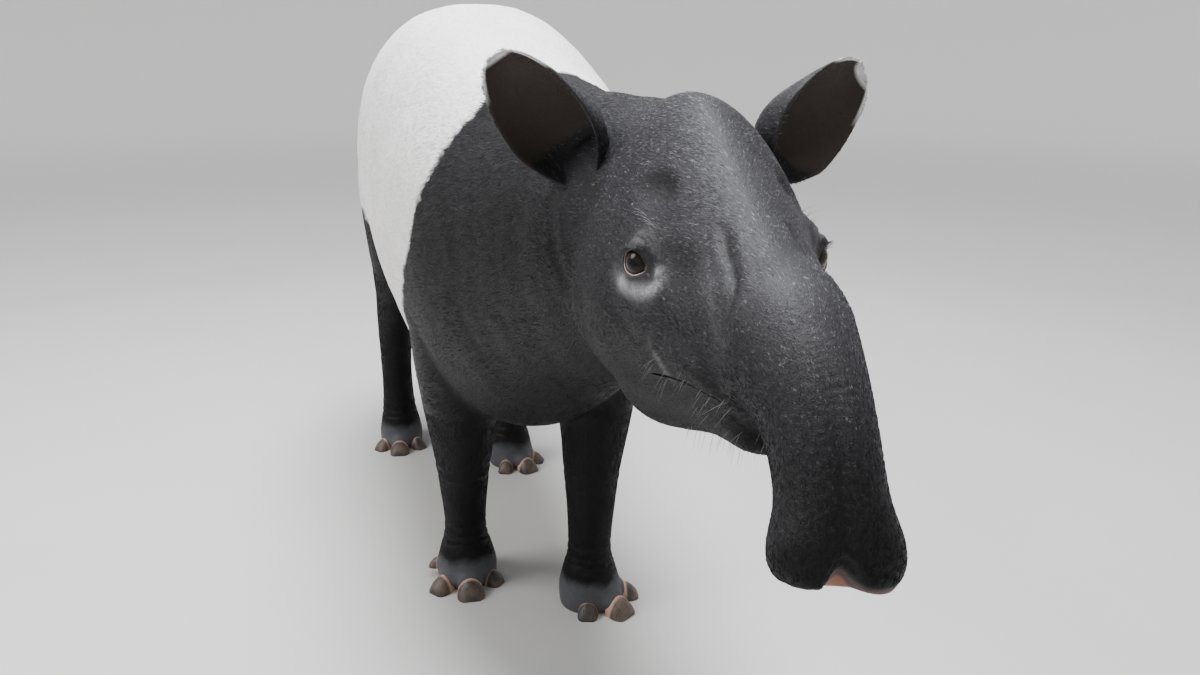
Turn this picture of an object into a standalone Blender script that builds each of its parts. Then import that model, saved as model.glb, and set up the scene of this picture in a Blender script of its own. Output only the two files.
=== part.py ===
"""A life-size Malayan tapir as a still museum model, standing with its head stretched forward.

Metres, +Z up. The tapir faces -Y, so its right side is at -X. The floor is Z = 0.
The flesh is lofted in parts, fused, rounded and modelled as one body, and then parted into
named nodes by thin cuts. Hooves and eyes are bodies of their own, set into sockets in the flesh.
"""

import math

import bmesh
import bpy
import numpy as np
from mathutils import Matrix, Vector
from mathutils.bvhtree import BVHTree

# Gaps, fusing and triangle budgets
GAP = 0.0003
VOXEL = 0.0065
ROUNDING_STEPS = 7
HEAD_TRIANGLES = 2800
BODY_TRIANGLES = 2700
EVENING_PASSES = 8
SWAP_FLATNESS = 0.86
RING_POINTS = 48

# The stance: where each foot's middle stands, and the joints above it
FOOT_AT = {
    "front_right": (-0.103, 0.145),
    "front_left": (0.093, -0.017),
    "hind_right": (-0.114, 0.845),
    "hind_left": (0.120, 0.630),
}
LEG_TOP = {
    "front_right": (-0.118, 0.060),
    "front_left": (0.138, 0.050),
    "hind_right": (-0.088, 0.800),
    "hind_left": (0.172, 0.790),
}

# The head's own frame: its origin is the nape, and it looks along its own -Y
HEAD_AT = Vector((0.046, -0.471, 0.886))
HEAD_PITCH = math.radians(3.4)
HEAD_YAW = math.radians(-12.0)

# Torso and neck, front to back: y, top, bottom, half width, widest level, shift in x, squareness on top
TORSO = (
    (-0.520, 0.930, 0.620, 0.118, 0.790, 0.046, 2.00),
    (-0.420, 0.942, 0.580, 0.136, 0.775, 0.040, 2.00),
    (-0.320, 0.944, 0.540, 0.150, 0.745, 0.028, 2.00),
    (-0.220, 0.946, 0.485, 0.168, 0.715, 0.018, 2.00),
    (-0.120, 0.955, 0.420, 0.192, 0.680, 0.012, 2.05),
    (-0.020, 0.976, 0.364, 0.213, 0.655, 0.010, 2.15),
    (0.100, 1.011, 0.350, 0.226, 0.650, 0.014, 2.30),
    (0.240, 1.043, 0.362, 0.237, 0.655, 0.024, 2.40),
    (0.400, 1.070, 0.386, 0.248, 0.672, 0.038, 2.40),
    (0.550, 1.078, 0.420, 0.250, 0.700, 0.048, 2.35),
    (0.700, 1.073, 0.466, 0.242, 0.728, 0.050, 2.25),
    (0.820, 1.048, 0.515, 0.218, 0.752, 0.047, 2.10),
    (0.920, 1.003, 0.575, 0.178, 0.770, 0.044, 2.00),
    (0.990, 0.944, 0.640, 0.124, 0.785, 0.042, 2.00),
    (1.030, 0.880, 0.715, 0.064, 0.795, 0.042, 2.00),
)

# Skull and muzzle in the head's frame: forward, top, bottom, half width, widest level
SKULL = (
    (-0.100, 0.020, -0.270, 0.122, -0.150),
    (-0.040, 0.048, -0.290, 0.130, -0.155),
    (0.020, 0.070, -0.292, 0.132, -0.160),
    (0.080, 0.070, -0.282, 0.129, -0.160),
    (0.140, 0.052, -0.262, 0.121, -0.150),
    (0.200, 0.026, -0.236, 0.108, -0.135),
    (0.260, 0.002, -0.210, 0.092, -0.122),
    (0.320, -0.018, -0.188, 0.077, -0.112),
    (0.370, -0.033, -0.174, 0.064, -0.108),
    (0.410, -0.046, -0.166, 0.055, -0.108),
)

# Lower jaw in the head's frame, in the same columns
JAW = (
    (0.010, -0.160, -0.302, 0.098, -0.215),
    (0.080, -0.160, -0.316, 0.094, -0.215),
    (0.150, -0.150, -0.291, 0.082, -0.205),
    (0.220, -0.150, -0.260, 0.066, -0.198),
    (0.290, -0.150, -0.231, 0.054, -0.186),
    (0.350, -0.150, -0.211, 0.046, -0.180),
    (0.380, -0.156, -0.203, 0.040, -0.178),
    (0.397, -0.164, -0.194, 0.026, -0.179),
)

# Proboscis spine in the head's frame: forward, height, half width, half depth
PROBOSCIS = (
    (0.340, -0.086, 0.064, 0.060),
    (0.380, -0.091, 0.060, 0.060),
    (0.415, -0.104, 0.053, 0.056),
    (0.448, -0.122, 0.047, 0.050),
    (0.476, -0.146, 0.0435, 0.046),
    (0.500, -0.176, 0.0445, 0.042),
    (0.511, -0.193, 0.0510, 0.041),
    (0.521, -0.209, 0.0555, 0.040),
    (0.530, -0.223, 0.0520, 0.037),
    (0.535, -0.231, 0.0430, 0.032),
)
PROBOSCIS_ROLL = math.radians(8.0)

# Front leg, top to foot: height, share of the way from shoulder to foot, half width, half depth
FRONT_LEG = (
    (0.700, 0.00, 0.068, 0.110),
    (0.590, 0.00, 0.082, 0.122),
    (0.480, 0.15, 0.080, 0.106),
    (0.390, 0.35, 0.070, 0.088),
    (0.300, 0.60, 0.058, 0.068),
    (0.225, 0.80, 0.049, 0.055),
    (0.155, 0.93, 0.042, 0.047),
    (0.105, 1.00, 0.041, 0.045),
    (0.062, 1.00, 0.052, 0.056),
    (0.030, 1.00, 0.059, 0.060),
    (-0.012, 1.00, 0.056, 0.056),
)

# Hind leg, in the same columns, with the distance behind the straight line last
HIND_LEG = (
    (0.800, 0.00, 0.080, 0.130, -0.010),
    (0.690, 0.05, 0.094, 0.155, -0.025),
    (0.570, 0.15, 0.086, 0.138, -0.045),
    (0.470, 0.30, 0.070, 0.104, -0.028),
    (0.390, 0.50, 0.056, 0.076, 0.012),
    (0.315, 0.70, 0.046, 0.060, 0.048),
    (0.245, 0.82, 0.042, 0.050, 0.046),
    (0.165, 0.93, 0.039, 0.043, 0.026),
    (0.105, 1.00, 0.042, 0.045, 0.008),
    (0.062, 1.00, 0.050, 0.053, 0.000),
    (0.028, 1.00, 0.055, 0.057, 0.000),
    (-0.012, 1.00, 0.051, 0.053, 0.000),
)

# Toes: name, turn outwards in degrees, reach of the hoof's back face, half width, height, lift
FRONT_TOES = (
    ("2", -50.0, 0.046, 0.0195, 0.034, 0.000),
    ("3", 0.0, 0.060, 0.0265, 0.040, 0.000),
    ("4", 48.0, 0.056, 0.0215, 0.037, 0.000),
    ("5", 104.0, 0.050, 0.0130, 0.026, 0.018),
)
HIND_TOES = (
    ("2", -44.0, 0.050, 0.0185, 0.034, 0.000),
    ("3", 0.0, 0.060, 0.0245, 0.038, 0.000),
    ("4", 44.0, 0.050, 0.0190, 0.034, 0.000),
)
TOE_TURN = {"front_right": 9.0, "front_left": 27.0, "hind_right": 14.0, "hind_left": 18.0}
HOOF_LENGTH = 0.98

# Swellings and hollows of the head, for the left side: centre, reach each way, move. They are the hollows
# above and beside the eye and nose, the corner of the eye, the cheek, the upper lip and the back of the jaw
HEAD_FORMS = (
    ((0.066, -0.176, -0.012), (0.034, 0.044, 0.030), (-0.012, 0.0, -0.004)),
    ((0.062, -0.272, -0.066), (0.030, 0.070, 0.034), (-0.011, 0.0, 0.0)),
    ((0.094, -0.236, -0.073), (0.022, 0.026, 0.024), (-0.006, 0.0, 0.0)),
    ((0.098, -0.120, -0.160), (0.050, 0.090, 0.070), (0.010, 0.0, 0.0)),
    ((0.070, -0.345, -0.136), (0.040, 0.060, 0.032), (0.007, 0.0, 0.0)),
    ((0.110, 0.030, -0.130), (0.050, 0.036, 0.120), (-0.012, 0.0, 0.0)),
)

# The proboscis tip: a lobe under each nostril, and the notch between them, all a little to the right
TIP_LOBE = ((0.030, -0.560, -0.218), (0.027, 0.032, 0.028), (0.0, -0.005, -0.003))
TIP_NOTCH = ((0.0, -0.566, -0.214), (0.019, 0.034, 0.032), (0.0, 0.012, 0.011))
TIP_ASIDE = Vector((-0.006, 0.0, 0.0))

# Ears, in the head's frame, stated for the left side: the right one (-1) stands up more than the left (1)
EAR_ROOT = Vector((0.1245, 0.014, -0.001))
EAR_AXIS = {-1: Vector((0.56, 0.07, 0.82)), 1: Vector((0.71, 0.34, 0.62))}
EAR_MOUTH = {-1: Vector((0.58, -0.74, -0.33)), 1: Vector((0.52, -0.85, -0.13))}
EAR_LENGTH = 0.140
EAR_HALF_WIDTH = 0.064
EAR_THICKNESS = 0.0055
EAR_ROOTED = 0.22

# Eyes, in the head's frame, for the left side
EYE_AT = Vector((0.0855, -0.206, -0.073))
EYE_LOOK = Vector((0.82, -0.56, 0.09))
EYE_RADIUS = 0.0185
LID_THICKNESS = 0.0042
LID_HALF_WIDTH = 0.0160
LID_HALF_HEIGHT = 0.0135

# Mouth line and nostrils, in the head's frame
MOUTH = (
    (0.078, 0.236, -0.180),
    (0.073, 0.280, -0.167),
    (0.064, 0.330, -0.156),
    (0.050, 0.372, -0.153),
    (0.030, 0.398, -0.155),
    (0.000, 0.408, -0.156),
)
MOUTH_HALF_GAP = 0.0020
MOUTH_HALF_DEPTH = 0.010
NOSTRIL_AT = Vector((0.0225, 0.537, -0.228))
NOSTRIL_SIZE = (0.0120, 0.0160, 0.0190)

# Tail, from the rump backwards and down: y, height, radius
RUMP_X = 0.043
TAIL = (
    (0.960, 0.902, 0.040),
    (1.012, 0.890, 0.034),
    (1.054, 0.864, 0.028),
    (1.080, 0.826, 0.023),
    (1.090, 0.784, 0.018),
    (1.092, 0.756, 0.010),
)
TAIL_STARTS = 1.050

COAT_BLACK = ((0.035, 0.035, 0.040), 0.60)
COAT_WHITE = ((0.700, 0.680, 0.660), 0.65)
HOOF_HORN = ((0.230, 0.150, 0.100), 0.50)
EYE_BROWN = ((0.030, 0.015, 0.010), 0.08)


def clear_scene():
    for old in list(bpy.data.objects):
        bpy.data.objects.remove(old, do_unlink=True)


def new_collection(name):
    made = bpy.data.collections.new(name)
    bpy.context.scene.collection.children.link(made)
    return made


def new_material(name, look, metallic=0.0):
    colour, roughness = look
    made = bpy.data.materials.new(name)
    made.use_nodes = True
    shader = made.node_tree.nodes["Principled BSDF"]
    shader.inputs["Base Color"].default_value = (*colour, 1.0)
    shader.inputs["Roughness"].default_value = roughness
    shader.inputs["Metallic"].default_value = metallic
    return made


def object_of(bm, name, collection):
    bm.normal_update()
    bmesh.ops.recalc_face_normals(bm, faces=bm.faces)
    mesh = bpy.data.meshes.new(name)
    bm.to_mesh(mesh)
    bm.free()
    made = bpy.data.objects.new(name, mesh)
    collection.objects.link(made)
    return made


def apply_modifiers(obj):
    bpy.context.view_layer.update()
    graph = bpy.context.evaluated_depsgraph_get()
    mesh = bpy.data.meshes.new_from_object(obj.evaluated_get(graph))
    old = obj.data
    obj.modifiers.clear()
    obj.data = mesh
    bpy.data.meshes.remove(old)


def smooth_rows(rows, steps):
    """A smooth curve through the rows of a table, with steps rows for each row given."""
    table = np.array(rows, float)
    padded = np.vstack([2 * table[0] - table[1], table, 2 * table[-1] - table[-2]])
    made = []
    for i in range(1, len(padded) - 2):
        before, start, end, after = padded[i - 1 : i + 3]
        for k in range(steps):
            t = k / steps
            made.append(
                0.5
                * (
                    2 * start
                    + (end - before) * t
                    + (2 * before - 5 * start + 4 * end - after) * t**2
                    + (3 * start - before - 3 * end + after) * t**3
                )
            )
    made.append(table[-1])
    return made


def ring(centre, across, up, half_width, rise, drop, top_power=2.0, low_power=2.0):
    """Points of a rounded section: half_width to each side, rise above its centre and drop below."""
    made = []
    for k in range(RING_POINTS):
        angle = math.tau * k / RING_POINTS
        cosine, sine = math.cos(angle), math.sin(angle)
        power, reach = (top_power, rise) if sine >= 0 else (low_power, drop)
        side = math.copysign(abs(cosine) ** (2 / power), cosine) * half_width
        height = math.copysign(abs(sine) ** (2 / power), sine) * reach
        made.append(Vector(centre) + across * side + up * height)
    return made


def loft(rings, name, collection, matrix=None):
    """A closed body through the rings, with its two ends capped."""
    bm = bmesh.new()
    layers = [[bm.verts.new(point) for point in points] for points in rings]
    count = len(layers[0])
    for first, second in zip(layers, layers[1:]):
        for k in range(count):
            n = (k + 1) % count
            bm.faces.new((first[k], first[n], second[n], second[k]))
    bmesh.ops.triangulate(bm, faces=bm.faces, quad_method="FIXED")
    bm.faces.new(layers[0])
    bm.faces.new(layers[-1])
    if matrix is not None:
        bm.transform(matrix)
    return object_of(bm, name, collection)


def ball(centre, radii, name, collection, matrix=None, segments=24):
    bm = bmesh.new()
    bmesh.ops.create_uvsphere(bm, u_segments=segments, v_segments=segments // 2, radius=1.0)
    bm.transform(Matrix.Translation(Vector(centre)) @ Matrix.Diagonal((*radii, 1.0)))
    if matrix is not None:
        bm.transform(matrix)
    return object_of(bm, name, collection)


def frame_along(forward, up_hint):
    """A matrix whose columns are sideways, along and up for a direction."""
    along = Vector(forward).normalized()
    side = along.cross(Vector(up_hint)).normalized()
    up = side.cross(along).normalized()
    return Matrix((side, along, up)).transposed()


def head_matrix():
    turn = Matrix.Rotation(HEAD_YAW, 4, "Z") @ Matrix.Rotation(HEAD_PITCH, 4, "X")
    return Matrix.Translation(HEAD_AT) @ turn


def mirrored(vector, side):
    return Vector((vector[0] * side, vector[1], vector[2]))


def box_rings(rows, top_power, low_power):
    """Upright rings of the head or jaw from rows of forward, top, bottom, half width, level."""
    made = []
    for forward, top, bottom, half_width, level in smooth_rows(rows, 4):
        made.append(
            ring(
                (0, -forward, level),
                Vector((1, 0, 0)),
                Vector((0, 0, 1)),
                half_width,
                top - level,
                level - bottom,
                top_power,
                low_power,
            )
        )
    return made


def torso(collection):
    rings = []
    for y, top, bottom, half_width, level, shift, top_power in smooth_rows(TORSO, 4):
        rings.append(
            ring(
                (shift, y, level),
                Vector((1, 0, 0)),
                Vector((0, 0, 1)),
                half_width,
                top - level,
                level - bottom,
                top_power,
                2.05,
            )
        )
    loft(rings, "torso_form", collection)


def head(collection):
    matrix = head_matrix()
    loft(box_rings(SKULL, 1.85, 2.1), "skull_form", collection, matrix)
    loft(box_rings(JAW, 2.0, 2.2), "jaw_form", collection, matrix)
    spine = smooth_rows(PROBOSCIS, 4)
    rings = []
    for i, (forward, height, half_width, half_depth) in enumerate(spine):
        before, after = spine[max(i - 1, 0)], spine[min(i + 1, len(spine) - 1)]
        along = Vector((0, before[0] - after[0], after[1] - before[1])).normalized()
        up = Vector((1, 0, 0)).cross(along)
        rings.append(
            ring(
                (0, -forward, height),
                Vector((1, 0, 0)),
                up if up.z > 0 else -up,
                half_width,
                half_depth,
                half_depth,
                2.1,
                2.1,
            )
        )
    tip = Vector((0, -spine[-1][0], spine[-1][1]))
    for i, points in enumerate(rings):
        roll = Matrix.Rotation(PROBOSCIS_ROLL * (i / (len(rings) - 1)) ** 1.5, 3, "Y")
        rings[i] = [tip + roll @ (point - tip) for point in points]
    loft(rings, "proboscis_form", collection, matrix)
    for side in (-1, 1):
        lid = EYE_RADIUS + LID_THICKNESS
        ball(mirrored(EYE_AT, side), (lid, lid, lid), "lid_form", collection, matrix)
        brow = mirrored(EYE_AT, side) + Vector((-0.012 * side, 0.004, 0.026))
        ball(brow, (0.020, 0.034, 0.016), "brow_form", collection, matrix)
        root = mirrored(EAR_ROOT, side) + Vector((-0.036 * side, 0.020, -0.036))
        ball(root, (0.042, 0.046, 0.042), "ear_root_form", collection, matrix)


def leg_rings(rows, top, foot):
    made = []
    for row in smooth_rows(rows, 4):
        height, share, half_width, half_depth = row[:4]
        behind = row[4] if len(row) > 4 else 0.0
        x = top[0] + (foot[0] - top[0]) * share
        y = top[1] + (foot[1] - top[1]) * share + behind
        made.append(
            ring(
                (x, y, height),
                Vector((1, 0, 0)),
                Vector((0, -1, 0)),
                half_width,
                half_depth,
                half_depth,
                2.0,
                2.0,
            )
        )
    return made


def toes_of(leg):
    return FRONT_TOES if leg.startswith("front") else HIND_TOES


def side_of(leg):
    return -1 if leg.endswith("right") else 1


def toe_matrix(leg, turn):
    """Places a toe's own frame, which points along -Y, on the floor under the middle of its foot."""
    side = side_of(leg)
    angle = math.radians(side * (turn + TOE_TURN[leg]))
    x, y = FOOT_AT[leg]
    return Matrix.Translation((x, y, 0.0)) @ Matrix.Rotation(angle, 4, "Z")


def legs(collection):
    for leg, foot in FOOT_AT.items():
        rows = FRONT_LEG if leg.startswith("front") else HIND_LEG
        loft(leg_rings(rows, LEG_TOP[leg], foot), leg + "_form", collection)
        for _, turn, reach, half_width, height, lift in toes_of(leg):
            rings = []
            for share, size in ((0.0, 0.92), (0.5, 1.06), (0.85, 1.07), (1.15, 0.92), (1.30, 0.55)):
                rise = height * size * 0.5
                rings.append(
                    ring(
                        (0, -reach * share, lift + 0.002 + rise + 0.006 * (1 - share)),
                        Vector((1, 0, 0)),
                        Vector((0, 0, 1)),
                        half_width * size * 0.97,
                        rise,
                        rise,
                        2.0,
                        2.4,
                    )
                )
            loft(rings, leg + "_toe_form", collection, toe_matrix(leg, turn))


def tail(collection):
    spine = smooth_rows(TAIL, 3)
    rings = []
    for i, (y, z, radius) in enumerate(spine):
        before, after = spine[max(i - 1, 0)], spine[min(i + 1, len(spine) - 1)]
        along = Vector((0, after[0] - before[0], after[1] - before[1])).normalized()
        across = Vector((1, 0, 0))
        rings.append(ring((RUMP_X, y, z), across, across.cross(along), radius, radius, radius))
    loft(rings, "tail_form", collection)


def muscles(collection):
    for side in (-1, 1):
        ball((0.010 + 0.150 * side, 0.060, 0.660), (0.066, 0.120, 0.200), "shoulder_form", collection)
        ball((RUMP_X + 0.138 * side, 0.800, 0.730), (0.080, 0.150, 0.190), "haunch_form", collection)


def fuse(collection, name):
    """Joins all the forms of a collection in one object and fuses them to one rounded skin."""
    bm = bmesh.new()
    for form in list(collection.objects):
        bm.from_mesh(form.data)
        bpy.data.objects.remove(form, do_unlink=True)
    mesh = bpy.data.meshes.new(name)
    bm.to_mesh(mesh)
    bm.free()
    made = bpy.data.objects.new(name, mesh)
    collection.objects.link(made)
    remesh = made.modifiers.new("fuse", "REMESH")
    remesh.mode = "VOXEL"
    remesh.voxel_size = VOXEL
    rounding = made.modifiers.new("round", "SMOOTH")
    rounding.factor = 0.5
    rounding.iterations = ROUNDING_STEPS
    apply_modifiers(made)
    return made


def push(points, centre, radii, move):
    """Moves the points near centre by move, fading out smoothly at radii."""
    away = (points - np.array(centre)) / np.array(radii)
    share = np.clip(1.0 - (away**2).sum(1), 0.0, 1.0) ** 2
    points += share[:, None] * np.array(move)


def model_head(flesh):
    """Hollows and swellings of the head, pushed into the fused flesh in the head's frame."""
    count = len(flesh.data.vertices)
    flat = np.empty(count * 3)
    flesh.data.vertices.foreach_get("co", flat)
    world = flat.reshape(-1, 3)
    matrix = np.array(head_matrix())
    turn, shift = matrix[:3, :3], matrix[:3, 3]
    points = (world - shift) @ turn
    for side in (-1, 1):
        for centre, reach, move in HEAD_FORMS:
            push(points, mirrored(centre, side), reach, mirrored(move, side))
        lobe_at, reach, move = TIP_LOBE
        push(points, mirrored(lobe_at, side) + TIP_ASIDE, reach, move)
    notch_at, reach, move = TIP_NOTCH
    push(points, Vector(notch_at) + TIP_ASIDE, reach, move)
    flesh.data.vertices.foreach_set("co", (points @ turn.T + shift).ravel())
    flesh.data.update()


def thin_out(flesh):
    """Reduces the flesh to facets, with finer ones on the head than on the body."""
    inverse = head_matrix().inverted()

    def coarse(place):
        return (inverse @ place).y > 0.06 and place.y < TAIL_STARTS - 0.02

    group = flesh.vertex_groups.new(name="body")
    for vertex in flesh.data.vertices:
        if coarse(vertex.co):
            group.add([vertex.index], 1.0, "ADD")
    total = 2 * len(flesh.data.polygons)
    on_body = sum(2 for face in flesh.data.polygons if coarse(face.center))
    on_head = total - on_body
    reduce = flesh.modifiers.new("reduce body", "DECIMATE")
    reduce.vertex_group = "body"
    reduce.ratio = (on_head + BODY_TRIANGLES) / total
    apply_modifiers(flesh)
    flesh.vertex_groups.clear()
    group = flesh.vertex_groups.new(name="head")
    for vertex in flesh.data.vertices:
        if not coarse(vertex.co):
            group.add([vertex.index], 1.0, "ADD")
    reduce = flesh.modifiers.new("reduce head", "DECIMATE")
    reduce.vertex_group = "head"
    reduce.ratio = (HEAD_TRIANGLES + BODY_TRIANGLES) / (on_head + BODY_TRIANGLES)
    apply_modifiers(flesh)
    flesh.vertex_groups.clear()


def even_out(flesh, fine):
    """Turns slivers into even facets: edges are swapped and corners slide along the fine surface."""
    corners = [vertex.co.copy() for vertex in fine.vertices]
    surface = BVHTree.FromPolygons(corners, [tuple(face.vertices) for face in fine.polygons])
    bm = bmesh.new()
    bm.from_mesh(flesh.data)
    for _ in range(EVENING_PASSES):
        swap_edges(bm)
        places = []
        for vertex in bm.verts:
            around = [edge.other_vert(vertex).co for edge in vertex.link_edges]
            middle = sum(around, Vector()) / len(around)
            places.append(surface.find_nearest(vertex.co.lerp(middle, 0.6))[0])
        for vertex, place in zip(bm.verts, places):
            vertex.co = place
        bm.normal_update()
    bm.to_mesh(flesh.data)
    bm.free()
    flesh.data.update()


def swap_edges(bm):
    """Swaps the edge between two triangles where the other diagonal makes them less thin."""
    for edge in list(bm.edges):
        if not edge.is_valid or len(edge.link_faces) != 2:
            continue
        one, two = edge.link_faces
        if len(one.verts) != 3 or len(two.verts) != 3 or one.normal.dot(two.normal) < SWAP_FLATNESS:
            continue
        start, end = edge.verts
        left = next(vertex for vertex in one.verts if vertex not in edge.verts)
        right = next(vertex for vertex in two.verts if vertex not in edge.verts)
        opposite = (start.co - left.co).angle(end.co - left.co, 0.0)
        opposite += (start.co - right.co).angle(end.co - right.co, 0.0)
        if opposite < math.pi + 0.05 or bm.edges.get((left, right)) is not None:
            continue
        swapped = bmesh.utils.edge_rotate(edge, True)
        for face in swapped.link_faces if swapped else ():
            face.normal_update()


def ear_frame(side):
    """Columns sideways, towards the tip, and out of the cup's mouth, in the head's frame."""
    tip = mirrored(EAR_AXIS[side], side).normalized()
    mouth = mirrored(EAR_MOUTH[side], side)
    mouth = (mouth - tip * mouth.dot(tip)).normalized()
    across = tip.cross(mouth)
    rotation = Matrix((across, tip, mouth)).transposed().to_4x4()
    return Matrix.Translation(mirrored(EAR_ROOT, side)) @ rotation


def ear_outline(share):
    """Half width of the ear at a share of its length, against its widest."""
    widest = 0.43
    if share < widest:
        return 1.0 - 0.60 * ((widest - share) / widest) ** 2.0
    return max(0.0, 1.0 - ((share - widest) / (1.0 - widest)) ** 2.1) ** 0.5


def ear(side, grow, name, collection):
    """A cup, whose section curls round at the root and opens towards the rounded tip."""
    across_steps, along_steps = 12, 11
    bm = bmesh.new()
    rows = []
    for i in range(along_steps + 1):
        share = math.sin(0.5 * math.pi * i / along_steps) if i else 0.0
        half_width = EAR_HALF_WIDTH * max(ear_outline(min(share, 0.995)), 0.12)
        curl = math.radians(112.0 - 62.0 * min(1.0, share * 1.25))
        radius = half_width / math.sin(min(curl, math.pi / 2))
        end = grow * ((i == along_steps) - (i == 0))
        height = EAR_LENGTH * (share * (1.0 + EAR_ROOTED) - EAR_ROOTED) + end
        row = []
        for k in range(across_steps + 1):
            angle = (curl + grow / radius) * (2.0 * k / across_steps - 1.0)
            depth = radius * (math.cos(angle) - math.cos(curl))
            row.append(bm.verts.new((radius * math.sin(angle), height, 0.022 - depth)))
        rows.append(row)
    for low, high in zip(rows, rows[1:]):
        for k in range(across_steps):
            bm.faces.new((low[k], low[k + 1], high[k + 1], high[k]))
    # A body and its slot must be folded along the same diagonals to stay apart
    bmesh.ops.triangulate(bm, faces=bm.faces, quad_method="FIXED")
    bm.transform(head_matrix() @ ear_frame(side))
    made = object_of(bm, name, collection)
    skin = made.modifiers.new("thickness", "SOLIDIFY")
    skin.thickness = EAR_THICKNESS + 2 * grow
    skin.offset = 0.0
    apply_modifiers(made)
    return made


def boolean(target, tool, operation):
    step = target.modifiers.new(operation.lower(), "BOOLEAN")
    step.operation = operation
    step.solver = "MANIFOLD"
    step.object = tool
    apply_modifiers(target)
    bpy.data.objects.remove(tool, do_unlink=True)


def slab(centre, rotation, size, name, collection):
    """A thin plate to cut with, GAP thick along its own Y."""
    bm = bmesh.new()
    bmesh.ops.create_cube(bm, size=1.0)
    bm.transform(
        Matrix.Translation(Vector(centre)) @ rotation @ Matrix.Diagonal((size[0], GAP, size[1], 1.0))
    )
    return object_of(bm, name, collection)


def dome(centre, radii, name, collection):
    """A thin shell to cut with: the upper half of an egg, open at the bottom."""
    bm = bmesh.new()
    bmesh.ops.create_uvsphere(bm, u_segments=20, v_segments=10, radius=1.0)
    low = [v for v in bm.verts if v.co.z < -0.001]
    bmesh.ops.delete(bm, geom=low, context="VERTS")
    bm.transform(Matrix.Translation(Vector(centre)) @ Matrix.Diagonal((*radii, 1.0)))
    made = object_of(bm, name, collection)
    skin = made.modifiers.new("thickness", "SOLIDIFY")
    skin.thickness = GAP
    skin.offset = 0.0
    apply_modifiers(made)
    return made


def hoof_rings(reach, half_width, height, lift, grow):
    """Rings of a hoof with a flat sole, from its face on the toe to its rounded front edge."""
    length = height * HOOF_LENGTH
    shape = ((0.0, 0.90, 0.86), (0.30, 0.99, 0.84), (0.62, 1.00, 0.66), (0.86, 0.88, 0.40), (1.0, 0.62, 0.18))
    made = []
    for i, (share, width, tall) in enumerate(shape):
        ends = -grow if i == 0 else grow * (i == len(shape) - 1)
        y = -(reach + length * share + ends)
        points = []
        for k in range(9):
            angle = math.pi * k / 8
            x = (half_width * width + grow) * math.cos(angle)
            z = (height * tall + grow) * math.sin(angle)
            points.append(Vector((x, y, lift + z)))
        for k in range(1, 4):
            x = (half_width * width + grow) * (2 * k / 4 - 1)
            points.append(Vector((x, y, lift - grow)))
        points[0].z = points[8].z = lift - grow
        made.append(points)
    return made


def hoof(leg, toe, grow, name, collection):
    _, turn, reach, half_width, height, lift = toe
    rings = hoof_rings(reach, half_width, height, lift, grow)
    return loft(rings, name, collection, toe_matrix(leg, turn))


def eyeball(side, radius, name, collection):
    frame = frame_along(mirrored(EYE_LOOK, side), (0, 0, 1)).to_4x4()
    bm = bmesh.new()
    bmesh.ops.create_uvsphere(bm, u_segments=16, v_segments=10, radius=radius)
    bm.transform(Matrix.Rotation(math.pi / 2, 4, "X"))
    bm.transform(head_matrix() @ Matrix.Translation(mirrored(EYE_AT, side)) @ frame)
    return object_of(bm, name, collection)


def lid_opening(side, collection):
    """An almond-shaped prism from the eyeball's middle outwards."""
    frame = frame_along(mirrored(EYE_LOOK, side), (0, 0, 1)).to_4x4()
    matrix = head_matrix() @ Matrix.Translation(mirrored(EYE_AT, side)) @ frame
    rings = []
    for along, flare in ((0.004, 1.0), (EYE_RADIUS + 0.012, 1.18)):
        points = []
        for k in range(20):
            angle = math.tau * k / 20
            x = LID_HALF_WIDTH * flare * math.cos(angle)
            z = LID_HALF_HEIGHT * flare * math.sin(angle) * (1.0 if math.sin(angle) > 0 else 0.9)
            points.append(Vector((x, along, z)))
        rings.append(points)
    return loft(rings, "opening", collection, matrix)


def mouth_groove(collection):
    """A flat tube round the jaw, sunk into the flesh, that leaves the line of the mouth."""
    half = [np.array(row) for row in smooth_rows(MOUTH, 2)]
    path = half + [row * np.array((-1, 1, 1)) for row in reversed(half[:-1])]
    rings = []
    for i, row in enumerate(path):
        before, after = path[max(i - 1, 0)], path[min(i + 1, len(path) - 1)]
        along = Vector((after[0] - before[0], before[1] - after[1], after[2] - before[2])).normalized()
        inward = along.cross(Vector((0, 0, 1))).normalized()
        up = inward.cross(along).normalized()
        end = 0.5 if i in (0, len(path) - 1) else 1.0
        rings.append(
            ring(
                (row[0], -row[1], row[2]),
                inward,
                up,
                MOUTH_HALF_DEPTH * end,
                MOUTH_HALF_GAP * end,
                MOUTH_HALF_GAP * end,
            )[::6]
        )
    return loft(rings, "mouth", collection, head_matrix())


def nostril(side, collection):
    rotation = Matrix.Rotation(math.radians(48.0), 4, "X") @ Matrix.Rotation(
        math.radians(14.0 * side), 4, "Y"
    )
    centre = Vector((NOSTRIL_AT.x * side, -NOSTRIL_AT.y, NOSTRIL_AT.z))
    matrix = head_matrix() @ Matrix.Translation(centre) @ rotation
    return ball((0, 0, 0), NOSTRIL_SIZE, "nostril", collection, matrix, segments=12)


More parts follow.
